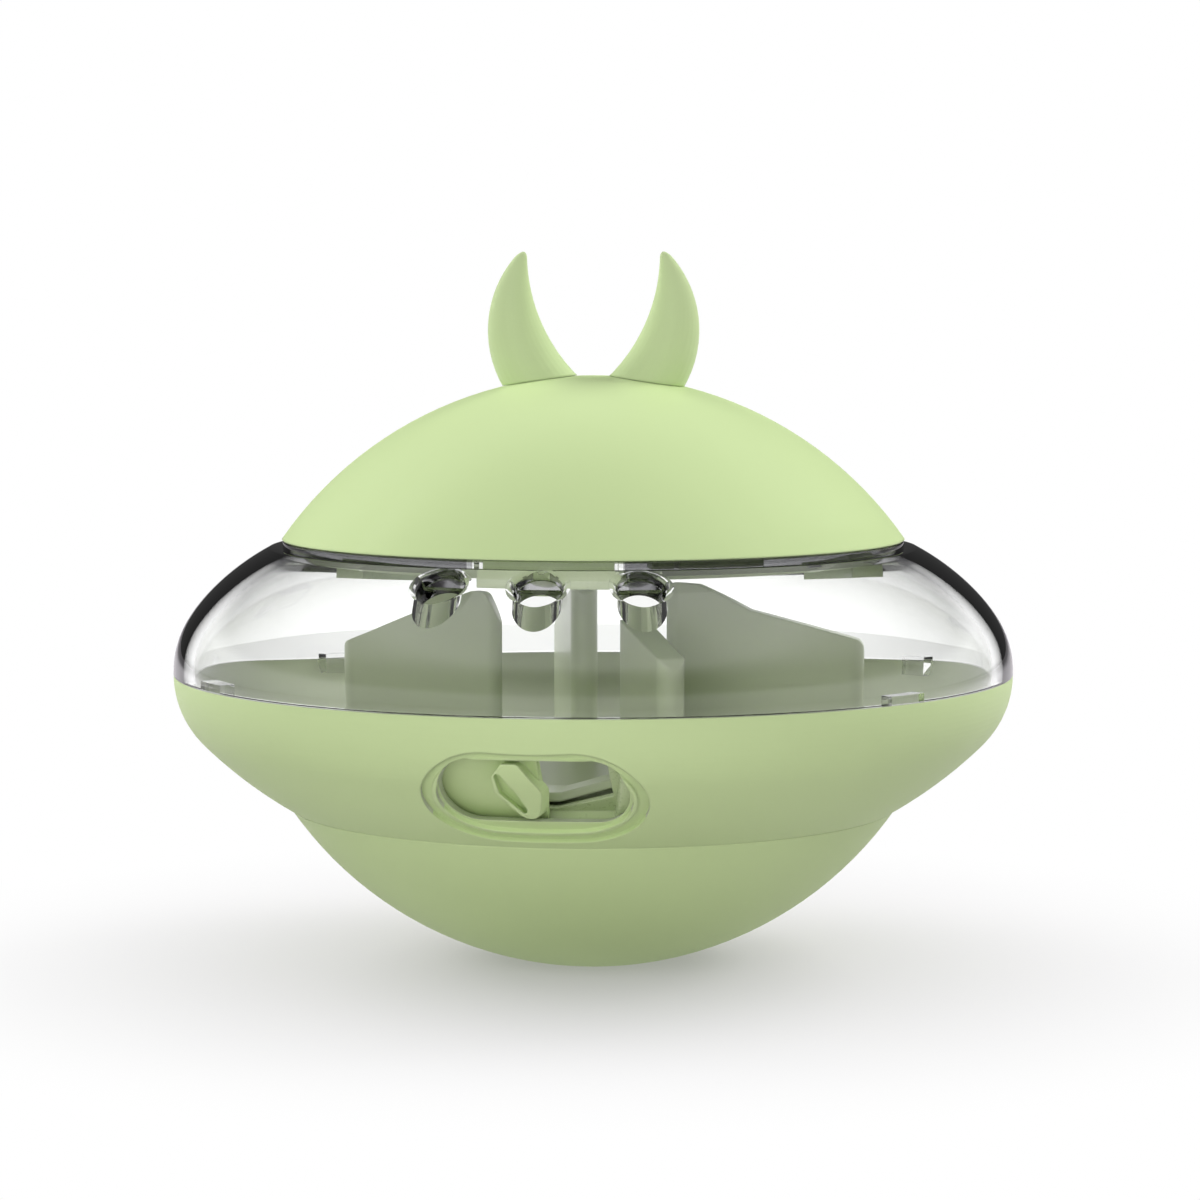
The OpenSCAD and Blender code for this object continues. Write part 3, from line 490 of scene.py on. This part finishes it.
def turned_screw(name, shank, head, head_height, length, pitch, sunk=False):
    """A screw whose crown is at the origin and whose shank points down. Sizes in millimetres."""
    around, depth = SCREW_SIDES, THREAD_DEPTH_SHARE * shank
    rows = [(0.0, -length, 0), (TIP_WIDTH_SHARE * shank, -length + TIP_LENGTH_SHARE * shank, 0)]
    step = pitch / ROWS_A_PITCH
    low, high = -length + THREAD_START_SHARE * shank, -head_height - (SUNK_NECK if sunk else ROUND_NECK)
    count = int((high - low) / step)
    rows += [(shank / 2 - depth, low + i * step, 1) for i in range(count)]
    rows.append((shank / 2 - depth / 2, high, 0))
    rows += head_rows(shank, head, head_height, sunk)
    rows.append((0.0, 0.0, 0))
    work = bmesh.new()
    rings = []
    for radius, height, threaded in rows:
        if radius == 0.0:
            rings.append([work.verts.new((0, 0, height * MM))])
            continue
        ring = []
        for k in range(around):
            angle = math.tau * k / around
            crest = abs(((height / pitch - k / around) % 1.0) * 2 - 1) if threaded else 0.0
            reach = (radius + depth * crest) * MM
            ring.append(work.verts.new((reach * math.cos(angle), reach * math.sin(angle), height * MM)))
        rings.append(ring)
    for lower, upper in zip(rings, rings[1:]):
        for k in range(around):
            nxt = (k + 1) % around
            if len(lower) == 1:
                work.faces.new((lower[0], upper[nxt], upper[k]))
            elif len(upper) == 1:
                work.faces.new((lower[k], lower[nxt], upper[0]))
            else:
                work.faces.new((lower[k], lower[nxt], upper[nxt], upper[k]))
    bmesh.ops.recalc_face_normals(work, faces=work.faces)
    mesh = bpy.data.meshes.new(name)
    work.to_mesh(mesh)
    work.free()
    screw = bpy.data.objects.new(name, mesh)
    bpy.context.scene.collection.objects.link(screw)
    cut_recess(screw, head, head_height)
    return screw


# The cross as shares of the head, its tapers as shares of itself, and how far its cutter stands out
CROSS_LENGTH_SHARE, CROSS_WIDTH_SHARE, CROSS_DEPTH_SHARE = 0.6, 0.14, 0.62
CROSS_TAPER_SHARE, CROSS_SIDE_TAPER_SHARE, CROSS_OVER = 0.55, 0.3, 0.3


def cut_recess(screw, head, head_height):
    """Cuts a tapered cross into a screw's crown."""
    work = bmesh.new()
    for turn in (0, math.pi / 2):
        made = bmesh.ops.create_cube(work, size=1)["verts"]
        for vertex in made:
            taper = CROSS_TAPER_SHARE if vertex.co.z < 0 else 1.0
            side_taper = 1 - CROSS_SIDE_TAPER_SHARE + CROSS_SIDE_TAPER_SHARE * taper
            x = vertex.co.x * CROSS_LENGTH_SHARE * head * taper
            y = vertex.co.y * CROSS_WIDTH_SHARE * head * side_taper
            z = CROSS_OVER if vertex.co.z > 0 else -CROSS_DEPTH_SHARE * head_height
            vertex.co = Vector((x, y, z)) * MM
        bmesh.ops.rotate(work, verts=made, matrix=Matrix.Rotation(turn, 3, "Z"))
    mesh = bpy.data.meshes.new("recess")
    work.to_mesh(mesh)
    work.free()
    cutter = bpy.data.objects.new("recess", mesh)
    bpy.context.scene.collection.objects.link(cutter)
    cut = screw.modifiers.new("cross", "BOOLEAN")
    cut.object = cutter
    cut.operation = "DIFFERENCE"
    cut.solver = "EXACT"
    cut.use_self = True
    bake_modifiers(screw)
    bpy.data.objects.remove(cutter)


def bake_modifiers(thing):
    """Makes the evaluated shape the piece's own plain mesh and clears its modifiers."""
    bpy.context.view_layer.update()
    graph = bpy.context.evaluated_depsgraph_get()
    mesh = bpy.data.meshes.new_from_object(thing.evaluated_get(graph))
    thing.modifiers.clear()
    thing.data = mesh


# %% Geometry Nodes: a screw on each seat
seats_tree, seats_in, seats_out = new_group(
    "Screws on seats",
    "GeometryNodeTree",
    [
        ("Geometry", "NodeSocketGeometry", None),
        ("Screw", "NodeSocketObject", None),
        ("Finish", "NodeSocketMaterial", None),
        ("Size", "NodeSocketFloat", 1.0),
        ("Seed", "NodeSocketInt", 3),
    ],
    [("Geometry", "NodeSocketGeometry")],
)
screw_info = add_node(seats_tree, "GeometryNodeObjectInfo", transform_space="ORIGINAL")
head_way = add_node(
    seats_tree, "GeometryNodeInputNamedAttribute", {"Name": "head_way"}, data_type="FLOAT_VECTOR"
)
stand_up = add_node(seats_tree, "FunctionNodeAlignRotationToVector", axis="Z")
any_turn = add_node(seats_tree, "FunctionNodeRandomValue", data_type="FLOAT")
any_turn.inputs[2].default_value = 0.0
any_turn.inputs[3].default_value = math.tau
turn_axis = add_node(seats_tree, "FunctionNodeAxisAngleToRotation", {"Axis": (0, 0, 1)})
turned = add_node(seats_tree, "FunctionNodeRotateRotation", rotation_space="LOCAL")
as_points = add_node(seats_tree, "GeometryNodeMeshToPoints")
placed = add_node(seats_tree, "GeometryNodeInstanceOnPoints")
real = add_node(seats_tree, "GeometryNodeRealizeInstances")
coated = add_node(seats_tree, "GeometryNodeSetMaterial")
join(seats_tree, seats_in.outputs["Screw"], screw_info.inputs["Object"])
join(seats_tree, seats_in.outputs["Geometry"], as_points.inputs["Mesh"])
join(seats_tree, as_points.outputs["Points"], placed.inputs["Points"])
join(seats_tree, screw_info.outputs["Geometry"], placed.inputs["Instance"])
join(seats_tree, head_way.outputs["Attribute"], stand_up.inputs["Vector"])
join(seats_tree, seats_in.outputs["Seed"], any_turn.inputs["Seed"])
join(seats_tree, any_turn.outputs[1], turn_axis.inputs["Angle"])
join(seats_tree, stand_up.outputs["Rotation"], turned.inputs["Rotation"])
join(seats_tree, turn_axis.outputs["Rotation"], turned.inputs["Rotate By"])
join(seats_tree, turned.outputs["Rotation"], placed.inputs["Rotation"])
join(seats_tree, seats_in.outputs["Size"], placed.inputs["Scale"])
join(seats_tree, placed.outputs["Instances"], real.inputs["Geometry"])
join(seats_tree, real.outputs["Geometry"], coated.inputs["Geometry"])
join(seats_tree, seats_in.outputs["Finish"], coated.inputs["Material"])
join(seats_tree, coated.outputs["Geometry"], seats_out.inputs["Geometry"])

# %% Screws in place of the plain ones
SCREW_CREASE = math.radians(38)


def set_input(modifier, title, value):
    """Sets a Geometry Nodes input by the name that its socket shows."""
    for item in modifier.node_group.interface.items_tree:
        if item.item_type == "SOCKET" and item.in_out == "INPUT" and item.name == title:
            modifier[item.identifier] = value
            return
    raise ValueError(title)


def screws_for(node_name, body, screw, seed):
    """Real screws on the seats of a plain screw node, which they replace."""
    seats = [seat_of(points) for points in islands(node_name)]
    mesh = bpy.data.meshes.new(node_name + "_seats")
    mesh.from_pydata([tuple(place) for place, way in seats], [], [])
    ways = mesh.attributes.new("head_way", "FLOAT_VECTOR", "POINT")
    ways.data.foreach_set("vector", np.array([way for place, way in seats], np.float32).ravel())
    piece = bpy.data.objects.new("real_" + node_name, mesh)
    bpy.context.scene.collection.objects.link(piece)
    modifier = piece.modifiers.new("seats", "NODES")
    modifier.node_group = seats_tree
    set_input(modifier, "Screw", screw)
    set_input(modifier, "Finish", zinc)
    set_input(modifier, "Size", 1.0)
    set_input(modifier, "Seed", seed)
    bake_modifiers(piece)
    for face in piece.data.polygons:
        face.use_smooth = True
    piece.data.set_sharp_from_angle(angle=SCREW_CREASE)
    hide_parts(node_name)
    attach(piece, body)
    print(node_name, "seats:", len(seats), "faces:", len(piece.data.polygons))
    return piece


# %% Put the screws in
SMALL = {"shank": 2.6, "head": 4.8, "head_height": 1.5}
LARGE = {"shank": 3.0, "head": 5.6, "head_height": 1.7, "pitch": 1.1}
FIRST_SEED = 3
small_screw = turned_screw("small_screw", length=8.5, pitch=1.0, **SMALL)
rail_screw = turned_screw("rail_screw", length=5.9, pitch=0.9, **SMALL)
tray_screw = turned_screw("tray_screw", length=10.4, **LARGE)
deck_screw = turned_screw("deck_screw", length=10.0, sunk=True, **LARGE)
horn_screw = turned_screw("horn_screw", length=10.2, **LARGE)
SCREWS = [
    ("weight_screws", "body", small_screw),
    ("base_screws", "body", deck_screw),
    ("tray_screws", "body", tray_screw),
    ("gate_rail_screws", "body", rail_screw),
    ("lock_ring_screws", "lid", small_screw),
    ("horn_screws", "lid", horn_screw),
]
for seed, (node_name, body, screw) in enumerate(SCREWS, FIRST_SEED):
    screws_for(node_name, body, screw, seed)
for screw in {screw for node_name, body, screw in SCREWS}:
    bpy.data.objects.remove(screw)

# %% [markdown]
# ## A smooth clear ring
# Clear plastic shows every facet twice, once in each face of its wall, so the construction solid is
# too coarse to look through. The same section is drawn here with many more points and with its
# corners rounded like a moulded part's, and is spun round the axis. The holes and the notches for the
# lid's lugs are then cut, and the stop ribs and the centring tabs added, as in the construction model.

# %% Sizes of the ring, in millimetres and degrees
# Wall, collar and mouth
SEAM, BAND, WALL = 41.6, 0.4, 2.9
BODY_R, COLLAR_R, MOUTH_R, NOTCH_R = 60.0, 44.4, 41.5, 43.3
COLLAR_TOP, COLLAR_T = 60.54, 1.5
# The wall's curve: a tight bend, a gentle sweep, and the turns between which one eases into the other
BEND, SWEEP, EASE_FROM, EASE_TO, TOP_TURN = 13.365, 35.175, 23, 55, 62
# Rounding of the corners, and how far past the notches the collar's underside runs flat
FOOT_SOFT, MOUTH_SOFT, UNDER_SOFT, UNDER_GAP = 0.12, 0.3, 0.2, 0.3
# Centring tabs with a tapered lead
TAB_IN, TAB_OUT, TAB_DROP, TAB_LAP, TAB_HALF = 55.4, 57.2, 3.0, 0.9, 3.2
TAB_LEAD, LEAD_FROM, TAB_BITE = 0.6, 1, 0.4
TAB_TURNS = (54, 126, -126, -54)
# Notches for the lugs, and stop ribs
LUG_HALF, NOTCH_GAP, STOP_AT = 12.3, 0.5, 49.8
LUG_STEP = 120
LUG_TURNS = (0, LUG_STEP, 2 * LUG_STEP)
RIB_DROP, RIB_SINK, RIB_GAP, RIB_HALF = 1.5, 0.75, 0.3, 1.5
# Holes with flared lips
HOLE_R, HOLE_AT, HOLE_STEP, LIP_R, LIP_SOFT = 3.2, 49.3, 15.7, 4.25, 1.25
HOLE_TURNS = (-HOLE_STEP, 0, HOLE_STEP)
LIP_SINK, LIP_OVER, LIP_WIDER = 0.15, 1.0, 0.4
# How far the cutting tools reach
BORE_LOW, BORE_HIGH = 44, 70
NOTCH_IN, NOTCH_LOW, NOTCH_HIGH = 30, 57.5, 62
# How fine the shapes are
STEPS_AROUND, STEPS_OF_HOLE, LIP_STEPS = 288, 72, 9
NOTCH_STEPS, RIB_STEPS, TAB_STEPS = 24, 4, 6
LINE_STEPS, STEPS_A_POINT, CORNER_STEPS = 1240, 20, 5
TOUCHING = 1e-8


def meridian():
    """The wall's outer line: turn of its normal, distance from the axis and height, in fine steps.

    Its radius grows smoothly from the tight bend over the seam to the gentle sweep under the lid.
    """
    turns = np.linspace(0, TOP_TURN, LINE_STEPS + 1)
    middle = np.radians((turns[1:] + turns[:-1]) / 2)
    step = math.radians(turns[1])
    share = np.clip((np.degrees(middle) - EASE_FROM) / (EASE_TO - EASE_FROM), 0, 1)
    radius = BEND + (SWEEP - BEND) * share**2 * (3 - 2 * share)
    out = BODY_R - np.concatenate(([0], np.cumsum(radius * np.sin(middle) * step)))
    up = SEAM + BAND + np.concatenate(([0], np.cumsum(radius * np.cos(middle) * step)))
    return np.radians(turns), out, up


TURNS, OUT, UP = meridian()


def wall_line(inset):
    """Points along the wall from the seam to the collar, at a depth under its surface."""
    places = range(0, len(TURNS), STEPS_A_POINT)
    return [(OUT[i] - inset * math.cos(TURNS[i]), UP[i] - inset * math.sin(TURNS[i])) for i in places]


def soften(points, corners):
    """Rounds the numbered corners of a closed outline. Corners are {index: how far back}."""
    done = []
    for index, point in enumerate(points):
        if index not in corners:
            done.append(point)
            continue
        here, back = Vector(point), corners[index]
        before = here + (Vector(points[index - 1]) - here).normalized() * back
        after = here + (Vector(points[(index + 1) % len(points)]) - here).normalized() * back
        for i in range(CORNER_STEPS + 1):
            t = i / CORNER_STEPS
            done.append(tuple(before * (1 - t) ** 2 + here * 2 * t * (1 - t) + after * t**2))
    return done


def spun(name, outline, steps, start=0.0, sweep=360.0):
    """Spins a closed outline round the axis. Angles in degrees, counted from the front."""
    whole = sweep >= 360
    work = bmesh.new()
    columns = []
    for k in range(steps if whole else steps + 1):
        angle = math.radians(start + sweep * k / steps - 90)
        columns.append(
            [
                work.verts.new((r * math.cos(angle) * MM, r * math.sin(angle) * MM, z * MM))
                for r, z in outline
            ]
        )
    pairs = list(zip(columns, columns[1:])) + ([(columns[-1], columns[0])] if whole else [])
    for one, two in pairs:
        for i in range(len(outline)):
            j = (i + 1) % len(outline)
            work.faces.new((one[i], two[i], two[j], one[j]))
    if not whole:
        work.faces.new(columns[0])
        work.faces.new(list(reversed(columns[-1])))
    bmesh.ops.remove_doubles(work, verts=work.verts, dist=TOUCHING)
    bmesh.ops.dissolve_degenerate(work, edges=work.edges, dist=TOUCHING)
    bmesh.ops.recalc_face_normals(work, faces=work.faces)
    mesh = bpy.data.meshes.new(name)
    work.to_mesh(mesh)
    work.free()
    made = bpy.data.objects.new(name, mesh)
    bpy.context.scene.collection.objects.link(made)
    return made


def combine(piece, tools, operation):
    """Adds tools to a piece or cuts them out of it, one after the other, and removes the tools."""
    for tool in tools:
        step = piece.modifiers.new("step", "BOOLEAN")
        step.operation = operation
        step.solver = "EXACT"
        step.object = tool
        bake_modifiers(piece)
        bpy.data.objects.remove(tool)


# %% Section and spin
under = COLLAR_TOP - COLLAR_T
section = [(BODY_R, SEAM), *wall_line(0)]
rim_first = len(section)
section += [
    (COLLAR_R, UP[-1]),
    (COLLAR_R, COLLAR_TOP),
    (MOUTH_R, COLLAR_TOP),
    (MOUTH_R, under),
    (NOTCH_R + UNDER_GAP, under),
]
section += [*reversed(wall_line(WALL)), (BODY_R - WALL, SEAM)]
softer = {
    0: FOOT_SOFT,
    rim_first + 1: MOUTH_SOFT,
    rim_first + 2: MOUTH_SOFT,
    rim_first + 3: UNDER_SOFT,
    len(section) - 1: FOOT_SOFT,
}
clear_ring = spun("clear_ring", soften(section, softer), STEPS_AROUND)
print("points of the section:", len(section), "faces of the plain ring:", len(clear_ring.data.polygons))

# %% Holes and notches
hole_at = int(np.argmin(abs(OUT - HOLE_AT)))
lip_foot = -LIP_SOFT - LIP_SINK
trumpet = [(0, lip_foot), (LIP_R - LIP_SOFT, lip_foot)]
trumpet += [
    (LIP_R - LIP_SOFT * math.cos(t), -LIP_SINK - LIP_SOFT * (1 - math.sin(t)))
    for t in (math.radians(90 * i / LIP_STEPS) for i in range(1, LIP_STEPS + 1))
]
trumpet += [(LIP_R + LIP_WIDER, LIP_OVER), (0, LIP_OVER)]
tube = [(0, BORE_LOW), (HOLE_R, BORE_LOW), (HOLE_R, BORE_HIGH), (0, BORE_HIGH)]
notch = [(NOTCH_IN, NOTCH_LOW), (NOTCH_R, NOTCH_LOW), (NOTCH_R, NOTCH_HIGH), (NOTCH_IN, NOTCH_HIGH)]
notch_half = LUG_HALF + NOTCH_GAP
cutters = []
for turn in HOLE_TURNS:
    bore = spun("bore", tube, STEPS_OF_HOLE)
    bore.data.transform(Matrix.Translation((0, -HOLE_AT * MM, 0)))
    lip = spun("lip", trumpet, STEPS_OF_HOLE)
    lip.data.transform(
        Matrix.Translation((0, -HOLE_AT * MM, UP[hole_at] * MM))
        @ Matrix.Rotation(math.pi / 2 - TURNS[hole_at], 4, "X")
    )
    for tool in (bore, lip):
        tool.data.transform(Matrix.Rotation(math.radians(turn), 4, "Z"))
        cutters.append(tool)
for turn in LUG_TURNS:
    cutters.append(spun("notch", notch, NOTCH_STEPS, turn - notch_half, 2 * notch_half))
combine(clear_ring, cutters, "DIFFERENCE")
print("cuts in the ring:", len(cutters))

# %% Stop ribs and centring tabs
rib_low, rib_high, rib_in = under - RIB_DROP, under + RIB_SINK, MOUTH_R + RIB_GAP
rib = [(rib_in, rib_low), (COLLAR_R, rib_low), (NOTCH_R, rib_high), (rib_in, rib_high)]
ribs = [spun("rib", rib, RIB_STEPS, STOP_AT + turn - RIB_HALF, 2 * RIB_HALF) for turn in LUG_TURNS]
combine(clear_ring, ribs, "UNION")
tab_low, tab_high, tab_root = SEAM - TAB_DROP, SEAM + TAB_LAP, TAB_OUT + TAB_BITE
tab = [(TAB_IN, tab_high), (TAB_IN, tab_low), (TAB_OUT - TAB_LEAD, tab_low), (TAB_OUT, SEAM - LEAD_FROM)]
tab += [(TAB_OUT, SEAM), (tab_root, SEAM), (tab_root, tab_high)]
tabs = [spun("tab", tab, TAB_STEPS, turn - TAB_HALF, 2 * TAB_HALF) for turn in TAB_TURNS]
combine(clear_ring, tabs, "UNION")
print("ribs:", len(ribs), "tabs:", len(tabs))

# %% [markdown]
# ## True normals and the painted shade
# Cutting leaves long thin faces round each hole. They would bend the light wrongly if the normals
# were averaged over them, so the corners that lie on the inner or outer wall get the normal that the
# curve itself has there. The collar and the far half of each hole then get the dark grey tint as painted
# shade.


# %% True normals on the walls of the ring
wall_places = KDTree(2 * len(TURNS))
for index, (turn, r, z) in enumerate(zip(TURNS, OUT, UP)):
    wall_places.insert((r, z, 0), index)
    wall_places.insert((r - WALL * math.cos(turn), z - WALL * math.sin(turn), 0), index)
wall_places.balance()


# How near the wall a corner lies, in millimetres, and how well its face agrees with the wall's normal
ON_WALL, SAME_WAY_SHARE = 0.02, 0.97
RING_CREASE = math.radians(30)


def wall_normal(point, face_normal):
    """The wall's own normal at a point in metres, or None where the point is off the wall."""
    r, z = math.hypot(point.x, point.y), point.z
    place, index, gap = wall_places.find((r / MM, z / MM, 0))
    flat = math.cos(TURNS[index])
    normal = Vector((point.x / r * flat, point.y / r * flat, math.sin(TURNS[index])))
    if gap > ON_WALL or abs(normal.dot(face_normal)) < SAME_WAY_SHARE:
        return None
    return normal if normal.dot(face_normal) > 0 else -normal


def true_walls(mesh):
    """Smooth shading, with the walls' own normals where a corner lies on a wall."""
    for face in mesh.polygons:
        face.use_smooth = True
    mesh.set_sharp_from_angle(angle=RING_CREASE)
    normals = [Vector(item.vector) for item in mesh.corner_normals]
    changed = 0
    for face in mesh.polygons:
        for corner in face.loop_indices:
            true = wall_normal(mesh.vertices[mesh.loops[corner].vertex_index].co, face.normal)
            if true is not None:
                normals[corner] = true
                changed += 1
    mesh.normals_split_custom_set(normals)
    return changed


print("true corners:", true_walls(clear_ring.data), "of", len(clear_ring.data.loops))

# %% Painted shade on the collar and in the holes
# Height from which faces count as the collar's, a small reach, and degrees kept clear of a notch
COLLAR_ZONE, NEAR, NOTCH_MARGIN = 58.7, 0.1, 1


def gets_painted_shade(place):
    """Whether a place, in millimetres, gets painted shade: in the collar between notches, or far in a hole.
    """
    out = math.hypot(place.x, place.y)
    turn = math.degrees(math.atan2(place.x, -place.y))
    from_notch = abs((turn + LUG_STEP / 2) % LUG_STEP - LUG_STEP / 2)
    if place.z > COLLAR_ZONE and out > MOUTH_R - NEAR:
        return from_notch >= LUG_HALF + NOTCH_MARGIN
    for hole_turn in HOLE_TURNS:
        hole = math.radians(hole_turn)
        gap = math.hypot(place.x - HOLE_AT * math.sin(hole), place.y + HOLE_AT * math.cos(hole))
        if gap < HOLE_R + NEAR and out < HOLE_AT:
            return True
    return False


clear_ring.data.materials.clear()
clear_ring.data.materials.append(clear)
clear_ring.data.materials.append(shaded_clear)
# Faces in the collar and far in the holes get the dark grey tint: painted shade.
for face in clear_ring.data.polygons:
    face.material_index = int(gets_painted_shade(face.center / MM))
print("smoky faces:", sum(face.material_index for face in clear_ring.data.polygons))
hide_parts("window_ring")
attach(clear_ring, "body")

# %% [markdown]
# ## Table
# The toy stands on a white table that keeps its shadow near it and runs out to pure white, to the eye
# and through the ring alike. For light that bounces, and for mirror images, the same table is grey with
# a soft glow under the toy, so the bowl stays in shade.

# %% Table
TABLE_GREY = (0.55, 0.53, 0.555)
FADE_FROM, FADE_TO, WHITE_AT_FOOT = -0.015, 0.115, 0.18
GLOW = 0.55
FLOOR_HALF = 3.0
floor_material = bpy.data.materials.new("white_floor")
floor_material.use_nodes = True
floor_tree = floor_material.node_tree
floor_shader = floor_tree.nodes["Principled BSDF"]
floor_shader.inputs["Base Color"].default_value = (*TABLE_GREY, 1)
floor_shader.inputs["Roughness"].default_value = 0.9
floor_shader.inputs["Specular IOR Level"].default_value = 0.0
floor_place = add_node(floor_tree, "ShaderNodeTexCoord")
floor_reach = add_node(floor_tree, "ShaderNodeVectorMath", operation="LENGTH")
floor_fade = add_node(
    floor_tree,
    "ShaderNodeMapRange",
    {"From Min": FADE_FROM, "From Max": FADE_TO, "To Min": WHITE_AT_FOOT, "To Max": 1.0},
    interpolation_type="SMOOTHSTEP",
)
floor_ray = add_node(floor_tree, "ShaderNodeLightPath")
floor_glow = add_node(floor_tree, "ShaderNodeMath", {0: GLOW}, operation="SUBTRACT", use_clamp=True)
floor_share = add_node(floor_tree, "ShaderNodeMix")
floor_bounce = add_node(floor_tree, "ShaderNodeMath", operation="MAXIMUM")
floor_unseen = add_node(floor_tree, "ShaderNodeMath", operation="SUBTRACT", use_clamp=True)
white_light = add_node(floor_tree, "ShaderNodeEmission", {"Strength": 1.0})
floor_mix = add_node(floor_tree, "ShaderNodeMixShader")
join(floor_tree, floor_place.outputs["Object"], floor_reach.inputs[0])
join(floor_tree, floor_reach.outputs["Value"], floor_fade.inputs["Value"])
join(floor_tree, floor_ray.outputs["Is Diffuse Ray"], floor_bounce.inputs[0])
join(floor_tree, floor_ray.outputs["Is Glossy Ray"], floor_bounce.inputs[1])
join(floor_tree, floor_bounce.outputs["Value"], floor_unseen.inputs[0])
join(floor_tree, floor_ray.outputs["Is Transmission Ray"], floor_unseen.inputs[1])
join(floor_tree, floor_unseen.outputs["Value"], floor_share.inputs["Factor"])
join(floor_tree, floor_fade.outputs["Result"], floor_share.inputs["A"])
join(floor_tree, floor_fade.outputs["Result"], floor_glow.inputs[1])
join(floor_tree, floor_glow.outputs["Value"], floor_share.inputs["B"])
join(floor_tree, floor_share.outputs["Result"], floor_mix.inputs["Fac"])
join(floor_tree, floor_shader.outputs["BSDF"], floor_mix.inputs[1])
join(floor_tree, white_light.outputs["Emission"], floor_mix.inputs[2])
join(floor_tree, floor_mix.outputs["Shader"], floor_tree.nodes["Material Output"].inputs["Surface"])
floor_mesh = bpy.data.meshes.new("studio_floor")
floor_mesh.from_pydata(
    [(x * FLOOR_HALF, y * FLOOR_HALF, 0) for x, y in ((-1, -1), (1, -1), (1, 1), (-1, 1))],
    [],
    [(0, 1, 2, 3)],
)
floor = bpy.data.objects.new("studio_floor", floor_mesh)
floor.data.materials.append(floor_material)
bpy.context.scene.collection.objects.link(floor)
print("table side in metres:", 2 * FLOOR_HALF)

# %% [markdown]
# ## Room
# The backdrop is plain white to the eye. Mirror images see a dark room with a bright ceiling, and light
# that the ring bends sees a bright horizon with a dark band over it. Together they draw the black and
# white outlines that clear plastic has in a photographer's light tent.

# %% World
world = bpy.data.worlds.new("bright_room")
bpy.context.scene.world = world
world.use_nodes = True
world_tree = world.node_tree
world_tree.nodes.clear()
sky_place = add_node(world_tree, "ShaderNodeTexCoord")
sky_parts = add_node(world_tree, "ShaderNodeSeparateXYZ")
join(world_tree, sky_place.outputs["Generated"], sky_parts.inputs[0])


def room_by_height(*stops):
    """Light that depends on how steeply a ray looks up. Stops are (sine of that slope, brightness)."""
    heights = add_node(world_tree, "ShaderNodeValToRGB")
    heights.color_ramp.interpolation = "EASE"
    while len(heights.color_ramp.elements) < len(stops):
        heights.color_ramp.elements.new(0.5)
    for stop, (place, value) in zip(heights.color_ramp.elements, stops):
        stop.position = place
        stop.color = (value, value, value, 1)
    light = add_node(world_tree, "ShaderNodeBackground", {"Strength": 1.0})
    join(world_tree, sky_parts.outputs["Z"], heights.inputs["Fac"])
    join(world_tree, heights.outputs["Color"], light.inputs["Color"])
    return light.outputs["Background"]


ray_kinds = add_node(world_tree, "ShaderNodeLightPath")


def pick(ray_kind, otherwise, then):
    """Uses one light for a kind of ray and another for the rest."""
    mix = add_node(world_tree, "ShaderNodeMixShader")
    join(world_tree, ray_kinds.outputs[ray_kind], mix.inputs["Fac"])
    join(world_tree, otherwise, mix.inputs[1])
    join(world_tree, then, mix.inputs[2])
    return mix.outputs["Shader"]


plain = room_by_height((0.0, 0.3), (0.3, 0.55), (0.75, 0.32), (1.0, 0.32))
mirrored = room_by_height((0.0, 0.06), (0.5, 0.06), (0.75, 1.0), (1.0, 1.1))
bent = room_by_height((0.0, 1.3), (0.22, 1.3), (0.36, 0.04), (0.72, 0.04), (0.86, 1.1))
white = add_node(world_tree, "ShaderNodeBackground", {"Color": (1, 1, 1, 1), "Strength": 1.0})
lit = pick("Is Glossy Ray", plain, mirrored)
lit = pick("Is Transmission Ray", lit, bent)
lit = pick("Is Camera Ray", lit, white.outputs["Background"])
world_out = add_node(world_tree, "ShaderNodeOutputWorld")
join(world_tree, lit, world_out.inputs["Surface"])


# %% [markdown]
# ## Lamps
# Two soft boxes behind the toy's sides shape the dome and leave its middle a little darker. A weak one
# in front lifts the lower shell, and a very weak one hangs overhead.

# %% Lamps
LAMP_AIM = Vector((0, 0, 50 * MM))


def soft_box(name, place, size, power):
    """A square soft light at a place, turned to the toy, that no mirror shows. Lengths in metres."""
    data = bpy.data.lights.new(name, "AREA")
    data.shape = "SQUARE"
    data.size = size
    data.energy = power
    lamp = bpy.data.objects.new(name, data)
    lamp.location = place
    lamp.rotation_euler = (LAMP_AIM - Vector(place)).to_track_quat("-Z", "Y").to_euler()
    lamp.visible_glossy = False
    lamp.visible_transmission = False
    bpy.context.scene.collection.objects.link(lamp)
    print(name, "watts:", power)


soft_box("overhead_box", (0.1, 0.05, 0.9), size=0.8, power=0.1)
soft_box("right_box", (0.6, 0.45, 0.6), size=0.5, power=7.5)
soft_box("left_box", (-0.65, 0.35, 0.5), size=0.5, power=5.8)
soft_box("front_box", (-0.1, -0.85, 0.28), size=0.5, power=2.8)

# %% Colours as written
bpy.context.scene.view_settings.view_transform = "Standard"
